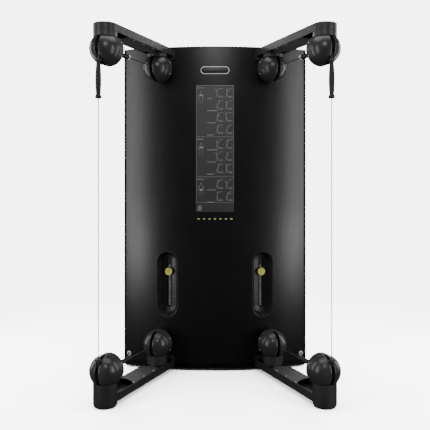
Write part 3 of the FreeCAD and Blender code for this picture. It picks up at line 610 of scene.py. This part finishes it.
def make_button_screws():
    heads = Shape()
    low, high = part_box("arm_covers")
    face = {"upper": high.z / MM - COVER_THICKNESS, "lower": low.z / MM + COVER_THICKNESS}
    for level, side in CORNERS:
        place = arm_place(level, side)
        ball_z = place.translation.z / MM
        for station in COVER_SCREW_STATIONS:
            rise = (face[level] - ball_z) * LEVELS[level]
            seat = shift((station, COVER_SCREW_Y, rise)) @ Matrix.Rotation(pi, 4, "X")
            heads.add(COVER_HEAD, place @ seat)
        heads.add(ring_screws(place, OUTER_RING_BACK))
        heads.add(ring_screws(arm_place(level, side, True), INNER_RING_BACK))
    piece("button_heads", heads, "root", "bright_steel", ["button_screws"])


def make_corner_bolts():
    washer = lathe([(6.1, 1.4), (6.1, 5.2, 0.6), (10.5, 5.3, 2), (16.2, 2.6, 1), (17, 0.3, 0.3),
                    (12, 0.25)], 64, closed=True)
    head = socket_head([(5.9, 1.8), (5.9, 7.7), (5.6, 8.2), (5.1, 8.5)], 3.0, 4.0)
    washers, heads = Shape(), Shape()
    for sign in SIDES.values():
        for z in CORNER_BOLT_HEIGHTS:
            place = front_place(sign * CORNER_BOLT_X, z)
            washers.add(washer, place)
            heads.add(head, place)
    piece("corner_washers", washers, "root", "bright_steel", ["panel_corner_bolts"])
    piece("corner_bolt_heads", heads, "root", "rail_steel")


# ---- balls, rings, sheaves and cables ----

# The way from a ball's middle to the screw hole in its +y dome.
DOME_HOLE = (-67, 62, -22)


def make_dome(back, holes=True):
    """One dome on the +y side: a ball with a flat face to the slot, cut off behind."""
    flat = DOME_FACE_Y
    lip = 2.4
    rim = sqrt(BALL_RADIUS ** 2 - (flat + lip) ** 2)
    face = rim - 0.6
    steps = 30
    top = asin((flat + lip) / BALL_RADIUS)
    profile = []
    for step in range(steps + 1):
        angle = pi / 2 + (top - pi / 2) * step / steps
        profile.append((BALL_RADIUS * cos(angle), BALL_RADIUS * sin(angle)))
    profile += [(rim, flat + 0.7), (face - 1.2, flat), (face - 8, flat),
                (face - 9, flat + 1), (44, flat + 1), (0, flat + 1)]
    dome = sliced(lathe(profile, 96, "y"), (back, 0, 0), (1, 0, 0))
    if not holes:
        return dome
    bore = lathe([(0, -9), (3.4, -9), (3.4, -1.1), (4.9, 0.2), (4.9, 3), (0, 3)], 32)
    return drilled(dome, bore.moved(facing(DOME_HOLE, BALL_RADIUS)))


def both_domes(dome):
    return Shape().add(dome).add(dome, Matrix.Diagonal((1, -1, 1, 1)))


def dome_screws():
    return both_domes(DOME_SCREW.moved(facing(DOME_HOLE, BALL_RADIUS - 4.2)))


def sheave_middle(outer):
    return Vector((-PITCH_RADIUS if outer else 0, 0, -PITCH_RADIUS))


def mirrored(half):
    return half + [(radius, -height, *rounding) for radius, height, *rounding in reversed(half)]


def make_sheave(outer):
    """A grooved pulley with a raised hub, a thin web and beaded rims."""
    root = PITCH_RADIUS - CABLE_RADIUS - 0.3
    half = [(AXLE_RADIUS + 0.05, 7, 0.4), (12, 7, 1), (14, 4.6, 1), (27.5, 4.6, 1), (30.5, 7, 1),
            (39.6, 7, 0.7), (40, 5.5, 0.6), (37, 4.2, 1), (root, 2.2, 1)]
    wheel = lathe(mirrored(half), 72, "y", closed=True)
    return wheel.moved(shift(sheave_middle(outer)))


def make_axle(outer):
    half = [(0, 14.8), (7.4, 14.8, 0.6), (8.3, 14.2, 0.6), (8.3, 11.2, 0.4), (AXLE_RADIUS, 11)]
    return lathe(mirrored(half), 40, "y").moved(shift(sheave_middle(outer)))


def make_hub(outer):
    """The back plate between the domes and, on a ball that swivels, its tubular hub."""
    back = RING_FRONT - 2 if outer else RING_FRONT
    bore = CABLE_BORE if outer else PLATE_BORE
    front = back - PLATE_THICKNESS
    profile = [(bore, front), (PLATE_RADIUS, front), (PLATE_RADIUS, back, 0.5)]
    if outer:
        profile += [(HUB_RADIUS + 3, back, 2), (HUB_RADIUS, back + 3, 2), (HUB_RADIUS, HUB_END, 1)]
    profile.append((bore, HUB_END if outer else back))
    return lathe(profile, 72, "x", closed=True)


def make_ring(outer):
    """The fixed cup behind a ball, with a parting groove, and its boss."""
    r = RING_RADIUS
    back = OUTER_RING_BACK if outer else INNER_RING_BACK
    groove = back - 8
    profile = [(r - 1.2, RING_FRONT, 0.4), (r, RING_FRONT + 1.6, 1), (r, groove - 1.2, 0.4),
               (r - 1.1, groove - 0.6, 0.3), (r - 1.1, groove + 0.6, 0.3), (r, groove + 1.2, 0.4),
               (r, back - 5, 4), (r - 5, back, 4), (44, back, 1), (42, back - 1.2, 0.5),
               (40, back - 1.2, 0.5), (38, back, 1), (33, back + 1, 2), (26, back + 12, 5),
               (TUBE_RADIUS + 2.6, back + BOSS_LENGTH, 1), (CABLE_BORE, back + BOSS_LENGTH),
               (CABLE_BORE, HUB_END + 1)]
    floor = back - RING_WALL
    if outer:
        bearing = HUB_RADIUS + 0.2
        profile += [(bearing, HUB_END + 1), (bearing, 20), (30, 20), (30, floor)]
    profile += [(r - RING_WALL, floor, 2), (r - RING_WALL, RING_FRONT)]
    return lathe(profile, 96, "x", closed=True)


def make_tube(ring_back, end):
    """The cable tube on a ring's boss, with a locking collar at its root and a lip at its end."""
    start = ring_back + BOSS_LENGTH
    r = TUBE_RADIUS
    profile = [(CABLE_BORE, start), (r + 2.2, start, 0.4), (r + 2.2, start + 9, 1), (r, start + 10.5, 0.6),
               (r, end - 7, 0.6), (r + 1.1, end - 6, 0.4), (r + 1.1, end - 1, 1), (r - 1.5, end, 0.8),
               (CABLE_BORE, end)]
    return lathe(profile, 40, "x", closed=True)


def rope(points):
    """Twisted strands along closely spaced points in the arm's own xz plane."""
    side = Vector((0, 1, 0))
    angles = circle_angles(ROPE_STRANDS * 3)
    rings, travelled = [], 0.0
    for i, point in enumerate(points):
        tangent = (points[min(i + 1, len(points) - 1)] - points[max(i - 1, 0)]).normalized()
        normal = tangent.cross(side).normalized()
        if i:
            travelled += (point - points[i - 1]).length
        ring = []
        for angle in angles:
            reach = CABLE_RADIUS * (0.84 + 0.16 * abs(cos(ROPE_STRANDS * angle / 2)))
            turned = angle + 2 * pi * travelled / ROPE_LAY
            ring.append(point + reach * (cos(turned) * normal + sin(turned) * side))
        rings.append(ring)
    return loft(rings)


def straight_run(start, end):
    start, end = Vector(start), Vector(end)
    count = max(1, round((end - start).length / ROPE_SPACING))
    return [start.lerp(end, step / count) for step in range(count + 1)]


def over_sheave(end_z):
    """From the hub, a quarter turn over the outer sheave, and straight towards the other arm."""
    r = PITCH_RADIUS
    steps = 14
    turn = [Vector((-r - r * sin(a), 0, -r + r * cos(a)))
            for a in (radians(90 * step / steps) for step in range(1, steps))]
    down = straight_run((-2 * r, 0, -r), (-2 * r, 0, end_z))
    return straight_run((HUB_END - 1, 0, 0), (-r, 0, 0)) + turn + down


def make_moving_balls():
    dome = make_dome(RING_FRONT - 2)
    domes, screws, axle, hub = both_domes(dome), dome_screws(), make_axle(True), make_hub(True)
    wheel = make_sheave(True)
    bore, rim = 6.2, 7.6
    bush = lathe([(bore, 0.4, 0.3), (rim, 0.4, 0.3), (rim, -1.2, 0.5), (bore, -1.6, 0.5)], 40, closed=True)
    bush = bush.moved(shift((-2 * PITCH_RADIUS, 0, -GUIDE_MOUTH + 0.6)))
    for level, side in CORNERS:
        place = arm_place(level, side)
        body = f"{level}_ball_{side}"
        corner = f"{level}_{side}"
        piece("ball_domes_" + corner, domes, body, "ball_black", ["ball_shell_" + corner], place)
        piece("ball_hub_" + corner, hub, body, "housing_black", (), place)
        piece("ball_axle_" + corner, axle, body, "bright_steel", (), place)
        piece("dome_screws_" + corner, screws, body, "rail_steel", (), place)
        piece("guide_bush_" + corner, bush, body, "rail_steel", (), place)
        piece("outer_wheel_" + corner, wheel, "outer_sheave_" + corner, "sheave_black",
              ["outer_sheave_" + corner], place)
        rounded_copy("cable_guide_" + corner, 0.8, "guide_black")
        piece("inner_wheel_" + corner, make_sheave(False), "inner_sheave_" + corner, "sheave_black",
              ["inner_sheave_" + corner], arm_place(level, side, True))


def make_fixed_balls():
    parts = {"balls": both_domes(make_dome(RING_FRONT - 2, False)), "plates": make_hub(False),
             "axles": make_axle(False)}
    joined = {name: Shape() for name in ("balls", "plates", "axles", "outer", "inner", "tubes")}
    for level, side in CORNERS:
        inner, outer = arm_place(level, side, True), arm_place(level, side)
        for name, shape in parts.items():
            joined[name].add(shape, inner)
        joined["outer"].add(make_ring(True), outer)
        joined["inner"].add(make_ring(False), inner)
        joined["tubes"].add(make_tube(OUTER_RING_BACK, OUTER_TUBE_ENDS[level]), outer)
        joined["tubes"].add(make_tube(INNER_RING_BACK, INNER_TUBE_END), inner)
    piece("inner_ball_domes", joined["balls"], "root", "ball_black", ["inner_balls"])
    piece("inner_ball_plates", joined["plates"], "root", "housing_black")
    piece("inner_ball_axles", joined["axles"], "root", "bright_steel")
    piece("outer_ball_rings", joined["outer"], "root", "housing_black", ["outer_rings"])
    piece("inner_ball_rings", joined["inner"], "root", "housing_black", ["inner_rings"])
    piece("cable_tubes", joined["tubes"], "root", "guide_black")


def make_cables():
    arms = Shape()
    for level, side in CORNERS:
        arms.add(rope(straight_run((HUB_END, 0, 0), (ARM_CABLE_END, 0, 0))), arm_place(level, side))
    piece("arm_ropes", arms, "root", "cable_steel", ["arm_cables"])
    for side in SIDES:
        upper, lower = arm_place("upper", side), arm_place("lower", side)
        rise = (upper.translation.z - lower.translation.z) / MM
        join = GUIDE_MOUTH - GUIDE_INSIDE
        piece("rope_bend_" + side, rope(over_sheave(-join)), "upper_ball_" + side,
              "cable_steel", ["cable_bend_" + side], upper)
        piece("training_rope_" + side, rope(over_sheave(join - rise)), "lower_ball_" + side,
              "cable_steel", ["training_cable_" + side], lower)


# ---- handles and knobs ----


def make_handles():
    for side in SIDES:
        low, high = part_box("handle_" + side)
        bottom, top = low.z / MM, high.z / MM
        line = arm_place("upper", side) @ Vector((-2 * PITCH_RADIUS, 0, 0))
        place = shift((line.x, line.y, 0)) @ TO_METRES
        bore = CABLE_RADIUS + 0.2
        start, end = bottom + LOWER_COLLAR, top - UPPER_COLLAR
        grip = [(bore, start)]
        steps = 44
        for step in range(steps + 1):
            t = step / steps
            swell = GRIP_SWELL * sin(pi * min(1, t * 1.04)) ** 0.8
            radius = GRIP_END_RADIUS + swell - GRIP_TAPER * t
            near_end = min(t, 1 - t) < 0.13
            radius -= GRIP_GROOVE if near_end and step % 2 else 0
            grip.append((radius, start + (end - start) * t))
        grip.append((bore, end))
        piece("grip_" + side, lathe(grip, 96, closed=True, flutes=(24, 0.35, bore + 2)), "handle_" + side,
              "grip_rubber", ["handle_" + side], place)
        lower = lathe([(bore, bottom, 0.6), (14.5, bottom, 1), (19, bottom + 3.5, 2), (19, bottom + 12, 3),
                       (16.2, bottom + 17, 2), (14.6, start, 0.5), (bore, start)], 64, closed=True)
        upper = lathe([(bore, end), (12.9, end, 0.4), (13.3, top - 4, 1.5), (10.5, top, 1.5),
                       (bore, top, 0.5)], 64, closed=True)
        piece("grip_collars_" + side, lower.add(upper), "handle_" + side, "grip_collar", (), place)


def make_knobs():
    r = KNOB_RADIUS
    stem = STEM_END - KNOB_FRONT
    segments = 112
    body = lathe([(4.5, 3.4), (r - 10, 3.0, 2), (r - 7.5, 1.2, 2), (r - 4.5, 0.2, 2), (r - 1.2, 1.2, 1.5),
                  (r, 4.5, 2), (r, 17, 2), (r - 4.5, KNOB_DEPTH, 2), (STEM_RADIUS, KNOB_DEPTH),
                  (STEM_RADIUS, stem), (0, stem)], segments, "y", flutes=(16, 0.8, r - 3))
    face = lathe([(0, 3.3), (4.5, 3.4)], segments, "y")
    cap = lathe([(0, 1.7), (8.5, 2.0, 1), (10.2, 3.0, 0.8), (10.6, 3.8), (0, 3.9)], 64, "y")
    front = shift((0, KNOB_FRONT, 0))
    for side in SIDES:
        place = recess_place(side, KNOB_Z)
        knob = Shape().add(body, front).add(face, front)
        piece("knob_" + side, knob, "knob_" + side, "knob_green", ["selector_knob_" + side], place)
        piece("knob_cap_" + side, cap.moved(front), "knob_" + side, "knob_cap", (), place)
        rounded_copy("selector_carriage_" + side, 0.6, "carriage_black")


# ---- recess trays ----


def tray_ring(width, height, depth, rise=0.0, curved=False):
    """A stadium outline at a depth, bent to the front's curve where it lies on it."""
    ring = []
    for x, z in rounded_outline(width, height, width / 2, 14, 6):
        curve = PANEL_RADIUS - sqrt(PANEL_RADIUS ** 2 - x * x) if curved else 0
        ring.append((x, depth + curve, z + rise))
    return ring


def make_trays():
    """The two recesses: each outline is a (growth, depth) step on the recess's or slot's size."""
    w, h, d = RECESS_WIDTH, RECESS_HEIGHT, RECESS_DEPTH
    lip = [(14, 0.0), (14, -1.3), (12.6, -2.1), (8, -2.2), (4, -2.1), (1.6, -1.3), (0.4, 0.2),
           (-0.2, 3.0)]
    wall = [(-15, 37), (-36.5, 54), (-38.4, 58.5), (-41.5, 61.2), (-47, d)]
    slot = [(3, d), (1, d + 0.4), (0, d + 1.4), (0, d + TRAY_SKIN)]
    behind = [(-44, d + TRAY_SKIN), (-36, d + TRAY_SKIN), (-32, d - 4), (4, 3.5)]
    rings = [tray_ring(w + grow, h + grow, depth, curved=True) for grow, depth in lip]
    rings += [tray_ring(w + grow, h + grow, depth) for grow, depth in wall]
    rings += [tray_ring(SLOT_WIDTH + grow, SLOT_HEIGHT + grow, depth, SLOT_RISE) for grow, depth in slot]
    rings += [tray_ring(w + grow, h + grow, depth) for grow, depth in behind]
    shape = loft(rings, closed=True)
    for side in SIDES:
        piece("tray_" + side, shape, "root", "tray_black", ["recess_tray_" + side],
              recess_place(side, RECESS_Z), sharp=40)


# ---- placard, badge and accent marks ----


def panel_plate(outlines, middle_x, middle_z):
    """A plate that follows the front, from (width, height, radius, proud) outlines.

    Its front and back are upright strips, so that they bend with the cabinet.
    """
    arc, straight = 6, 15
    rings = [[(middle_x + x, panel_y(middle_x + x, proud), middle_z + z)
              for x, z in rounded_outline(width, height, radius, arc, straight)]
             for width, height, radius, proud in outlines]
    plate = loft(rings, capped=False)
    count = len(rings[0])
    half = count // 2
    across = 2 * (arc + 1) + straight
    for start in (0, (len(rings) - 1) * count):
        top = range(start, start + across)
        bottom = range(start + half + across - 1, start + half - 1, -1)
        left = range(start + across, start + half)
        right = range(start + half + across, start + count)
        plate.faces.append((*reversed(right), bottom[0], bottom[1], top[1], top[0]))
        for i in range(1, across - 2):
            plate.faces.append((top[i], top[i + 1], bottom[i + 1], bottom[i]))
        plate.faces.append((top[-2], top[-1], *left, bottom[-1], bottom[-2]))
    return plate


def pen_line(points, width=LIMB_PEN):
    """A raised printed line on the placard through (x, z) points."""
    low, high = PLACARD_PROUD - INK_DEPTH, PLACARD_PROUD + INK_HEIGHT
    corners = [Vector(point) for point in points]
    points = corners[:1]
    for start, end in zip(corners, corners[1:]):
        parts = ceil((end - start).length / PEN_STEP)
        points += [start.lerp(end, (part + 1) / parts) for part in range(parts)]
    rings = []
    for i, point in enumerate(points):
        along = (points[min(i + 1, len(points) - 1)] - points[max(i - 1, 0)]).normalized()
        across = Vector((-along.y, along.x)) * width / 2
        a, b = point + across, point - across
        rings.append([(a.x, panel_y(a.x, low), a.y), (a.x, panel_y(a.x, high), a.y),
                      (b.x, panel_y(b.x, high), b.y), (b.x, panel_y(b.x, low), b.y)])
    return loft(rings)


def pen_circle(x, z, radius):
    steps = 16
    turn = [(x + radius * cos(a), z + radius * sin(a))
            for a in (2 * pi * step / steps for step in range(steps + 1))]
    return pen_line(turn, THIN_PEN)


def exercise_figure(x, z, size, lean, reach):
    """A generic line figure that pulls on a frame, in a square of the given size."""
    def at(u, v):
        return (x + u * size, z + v * size)

    hip = Vector((0.36, 0.42))
    chest = hip + 0.34 * Vector((sin(lean), cos(lean)))
    head = chest + 0.13 * Vector((sin(lean), cos(lean)))
    hand = chest + 0.30 * Vector((cos(reach), sin(reach)))
    pulley = at(0.60, 0.90)
    foot_plate = [at(0.54, 0.04), at(0.98, 0.02), at(1.0, 0.10), at(0.70, 0.16), at(0.54, 0.04)]
    shape = pen_line([at(1.0, 0.97), at(0.66, 1.0), pulley])
    shape.add(pen_line([pulley, at(*hand)], CORD_PEN))
    shape.add(pen_line(foot_plate))
    shape.add(pen_circle(*at(*head), 0.06 * size))
    shape.add(pen_line([at(*chest), at(*hip)], TRUNK_PEN))
    shape.add(pen_line([at(*chest), at(*hand)]))
    for foot in (0.20, 0.50):
        knee = ((hip.x + foot) / 2 + 0.05, 0.22)
        shape.add(pen_line([at(*hip), at(*knee), at(foot, 0.02)]))
    return shape


def body_icon(x, z, height, lit):
    """A generic standing outline with one region filled in, `lit` of the way down."""
    w = height * 0.20
    shape = pen_circle(x, z - 0.09 * height, 0.06 * height)
    arm = [(0.5, 0.22), (1.0, 0.30), (1.05, 0.58)]
    leg = [(0.55, 0.24), (0.5, 0.55), (0.45, 0.97)]
    for sign in (-1, 1):
        for limb in (arm, leg):
            shape.add(pen_line([(x + sign * u * w, z - v * height) for u, v in limb], THIN_PEN))
    region = [(x + sign * 0.55 * w, z - lit * height) for sign in (-1, 1)]
    shape.add(pen_line(region, 0.11 * height))
    return shape


def make_placard():
    """A film with generic line figures, placed in shares of its size from its top left."""
    low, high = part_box("exercise_placard")
    left, right, bottom, top = low.x / MM, high.x / MM, low.z / MM, high.z / MM
    width, height = right - left, top - bottom
    film = panel_plate([(width, height, 3, 0.0), (width, height, 3, 1.1),
                        (width - 1, height - 1, 3, PLACARD_PROUD)], 0, (bottom + top) / 2)
    piece("placard_film", film, "root", "placard", ["exercise_placard"], TO_METRES)

    def at(u, v):
        return (left + u * width, top - v * height)

    def level_line(start, end, v, pen, parts=1):
        return pen_line([at(start + (end - start) * step / parts, v) for step in range(parts + 1)], pen)

    edge, foot = 0.012, 0.925
    ink = Shape()
    for u in (edge, 1 - edge):
        ink.add(pen_line([at(u, 0.004), at(u, foot)], EDGE_PEN))
    row_pitch = 0.0955
    sections = [(0.004, 4, 0.30), (0.408, 3, 0.38), (0.723, 2, 0.56)]
    leans = (-14, 6, 24, -4, 12)
    reaches = (30, -20, 62, 5, -48, 80, 15)
    number = 0
    for start, rows, lit in sections:
        ink.add(level_line(edge, 1 - edge, start, RULE_PEN, 8))
        ink.add(level_line(0.03, 0.20, start + 0.019, CAPTION_PEN))
        ink.add(body_icon(*at(0.135, start + 0.046), 0.10 * height, lit))
        for row in range(rows):
            base = start + 0.100 + row * row_pitch
            caption_end = 0.42 + 0.05 * ((row * 3 + rows) % 4)
            ink.add(level_line(0.29, caption_end, base + 0.003, CAPTION_PEN))
            for column in (0.47, 0.72):
                lean = radians(leans[number % len(leans)])
                reach = radians(reaches[number % len(reaches)])
                ink.add(exercise_figure(*at(column, base - 0.006), 0.24 * width, lean, reach))
                number += 1
    ink.add(level_line(edge, 1 - edge, foot, RULE_PEN, 8))
    for row in range(4):
        ink.add(level_line(0.05, 0.15, 0.952 + row * 0.011, NOTE_PEN))
    piece("placard_ink", ink, "root", "placard_ink", (), TO_METRES)


def make_badge():
    low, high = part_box("badge_plate")
    width, height = (high.x - low.x) / MM, (high.z - low.z) / MM
    middle_z = (high.z + low.z) / 2 / MM
    r = height / 2 - 0.5

    def plate(outlines):
        return panel_plate([(width - less, height - less, r - tighter, proud)
                            for less, tighter, proud in outlines], 0, middle_z)

    rim = plate([(0, 0, 0), (0, 0, 1.6), (1.6, 1, 2.3), (9, 5, 2.3), (10, 5, 1.7)])
    face = plate([(10, 5, 1.5), (11, 6, 2.0), (14, 8, 2.35)])
    piece("badge_rim", rim, "root", "badge_rim", ["badge_plate"], TO_METRES)
    piece("badge_face", face, "root", "badge", (), TO_METRES)
    green, pale = Shape(), Shape()
    w, h = ACCENT_WIDTH, ACCENT_HEIGHT
    for mark in range(ACCENT_MARKS):
        x = ACCENT_SPAN * (mark / (ACCENT_MARKS - 1) - 0.5)
        bar = panel_plate([(w, h, 2, 0.0), (w, h, 2, 0.5), (w - 0.6, h - 0.6, 2, 0.7)], x, ACCENT_Z)
        (pale if mark in (1, ACCENT_MARKS - 2) else green).add(bar)
    piece("accent_marks_green", green, "root", "accent_green", (), TO_METRES)
    piece("accent_marks_pale", pale, "root", "accent_pale", (), TO_METRES)


# ---- pieces that keep their CAD shape ----

# Each node's rounding, its material and slot, and True where its front is an exact curve.
ROUNDED = {
    "panel_edge_trims": (1.2, "trim_black", True),
    "front_panel": (0.8, "panel_black", True),
    "kick_strips": (1.0, "trim_black", True),
    "side_covers": (0.8, "cover_black"),
    "rear_covers": (0.8, "cover_black"),
    "top_cover": (1.2, "cover_black"),
    "foot_pads": (0.6, "foot_rubber"),
    "selector_rails": (0.6, "rail_steel"),
    "selector_bushes": (0.4, "bright_steel"),
    "arm_covers": (0.9, "arm_cover_grey"),
    "arm_root_flanges": (2.5, "housing_black", True),
    "outer_cradles": (1.5, "housing_black"),
    "inner_cradles": (1.5, "housing_black"),
}
ARM_ROUNDING = 2.2

# Nodes that keep their CAD mesh, and their material.
INSIDE = {"base_frame": "frame_steel", "cabinet_frame": "frame_steel", "guide_rods": "rod_chrome",
          "stack_buffers": "foot_rubber", "resting_plates": "plate_steel",
          "lifted_plates_left": "plate_steel", "lifted_plates_right": "plate_steel"}


def finish_cad_pieces():
    for node, settings in ROUNDED.items():
        rounded_copy(node, *settings)
    for level, side in CORNERS:
        rounded_copy(f"{level}_arm_{side}", ARM_ROUNDING, "arm_black")
    for node, slot in INSIDE.items():
        data = frame["nodes"][node].data
        data.materials.clear()
        data.materials.append(MATERIAL[slot])


def make_side_cover_screws():
    """A row of button heads down each side cover, near its rear edge."""
    low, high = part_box("side_covers")
    shape = Shape()
    count, margin, near_rear = 8, 0.06, 0.93
    for sign in SIDES.values():
        front = Vector((sign * SIDE_COVER_FRONT_X * MM, low.y, 0))
        rear = Vector((sign * SIDE_COVER_REAR_X * MM, high.y, 0))
        along = (rear - front).normalized()
        out = Vector((along.y * sign, -along.x * sign, 0))
        seat = front.lerp(rear, near_rear)
        turn = out.to_track_quat("Z", "Y").to_matrix().to_4x4()
        for step in range(count):
            z = low.z + margin + (high.z - low.z - 2 * margin) * step / (count - 1)
            shape.add(BUTTON_HEAD, shift((seat.x, seat.y, z)) @ turn @ TO_METRES)
    piece("side_cover_screws", shape, "root", "rail_steel")


# ---- floor and light ----


def grey(value):
    return (value, value, value, 1)


def make_floor():
    """A pale floor that fades out some way from the machine.

    It looks brighter to the camera than it is to other light, and darker in reflections.
    """
    radius, fade_from, fade_to = 9.0, 1.2, 3.2
    bm = bmesh.new()
    bmesh.ops.create_circle(bm, cap_ends=True, radius=radius, segments=64)
    data = bpy.data.meshes.new("floor")
    bm.to_mesh(data)
    bm.free()
    floor = linked("floor", data)
    finish = Finish("floor")

    def diffuse(colour):
        return finish.node("ShaderNodeBsdfDiffuse", {"Color": colour}).outputs[0]

    def either(factor, a, b):
        return finish.node("ShaderNodeMixShader", {0: factor, 1: a, 2: b}).outputs[0]

    ray = finish.node("ShaderNodeLightPath").outputs
    drift = finish.noise(900, 3)
    seen = finish.mixed(drift, grey(FLOOR_SEEN), grey(FLOOR_SEEN * 0.96))
    lit = either(ray["Is Glossy Ray"], diffuse((0.45, 0.45, 0.46, 1)), diffuse(grey(0.03)))
    shown = either(ray["Is Camera Ray"], lit, diffuse(seen))
    distance = finish.node("ShaderNodeVectorMath", {0: finish.place}, operation="LENGTH").outputs["Value"]
    fade = finish.spread(distance, fade_from, fade_to, 0, 1)
    faded = either(fade, shown, finish.node("ShaderNodeBsdfTransparent").outputs[0])
    finish.tree.links.new(faded, finish.tree.nodes["Material Output"].inputs["Surface"])
    data.materials.append(MATERIAL["floor"])


def make_world():
    world = bpy.data.worlds.new("studio")
    world.use_nodes = True
    tree = world.node_tree
    background = tree.nodes["Background"]
    path = tree.nodes.new("ShaderNodeLightPath")
    strength = tree.nodes.new("ShaderNodeMapRange")
    strength.inputs["To Min"].default_value = SKY_FILL
    strength.inputs["To Max"].default_value = SKY_SEEN
    tree.links.new(path.outputs["Is Camera Ray"], strength.inputs["Value"])
    tree.links.new(strength.outputs["Result"], background.inputs["Strength"])
    background.inputs["Color"].default_value = grey(1)
    bpy.context.scene.world = world


def soft_box(name, place, target, size, watts):
    data = bpy.data.lights.new(name, "AREA")
    data.shape = "RECTANGLE"
    data.size, data.size_y = size
    data.energy = watts
    light = linked(name, data)
    light.location = place
    light.rotation_euler = (Vector(target) - Vector(place)).to_track_quat("-Z", "Y").to_euler()
    light.visible_camera = False


def make_lights():
    for side, sign in SIDES.items():
        soft_box("tall_box_" + side, (sign * 3.3, -2.25, 1.85), (sign * 0.5, 0.2, 1.7),
                 size=(1.1, 2.8), watts=50)
        soft_box("edge_box_" + side, (sign * 2.7, 0.7, 1.6), (0, -0.2, 1.2), size=(0.8, 3.0), watts=30)
        soft_box("low_box_" + side, (sign * 2.3, -1.7, 0.5), (sign * 0.6, -0.4, 0.3),
                 size=(0.6, 0.7), watts=8)
        soft_box("rear_box_" + side, (sign * 2.4, 3.6, 2.4), (0, 0.5, 1.1), size=(1.4, 2.2), watts=70)
    soft_box("high_front_box", (0, -3.6, 3.7), (0, 0.2, 2.0), size=(1.0, 1.2), watts=30)
    soft_box("top_box", (0, -0.2, 4.4), (0, 0, 0), size=(3.4, 2.8), watts=80)


# ---- making ----

make_materials()
finish_cad_pieces()
make_button_screws()
make_corner_bolts()
make_side_cover_screws()
make_moving_balls()
make_fixed_balls()
make_cables()
make_handles()
make_knobs()
make_trays()
make_placard()
make_badge()
make_floor()
make_world()
make_lights()
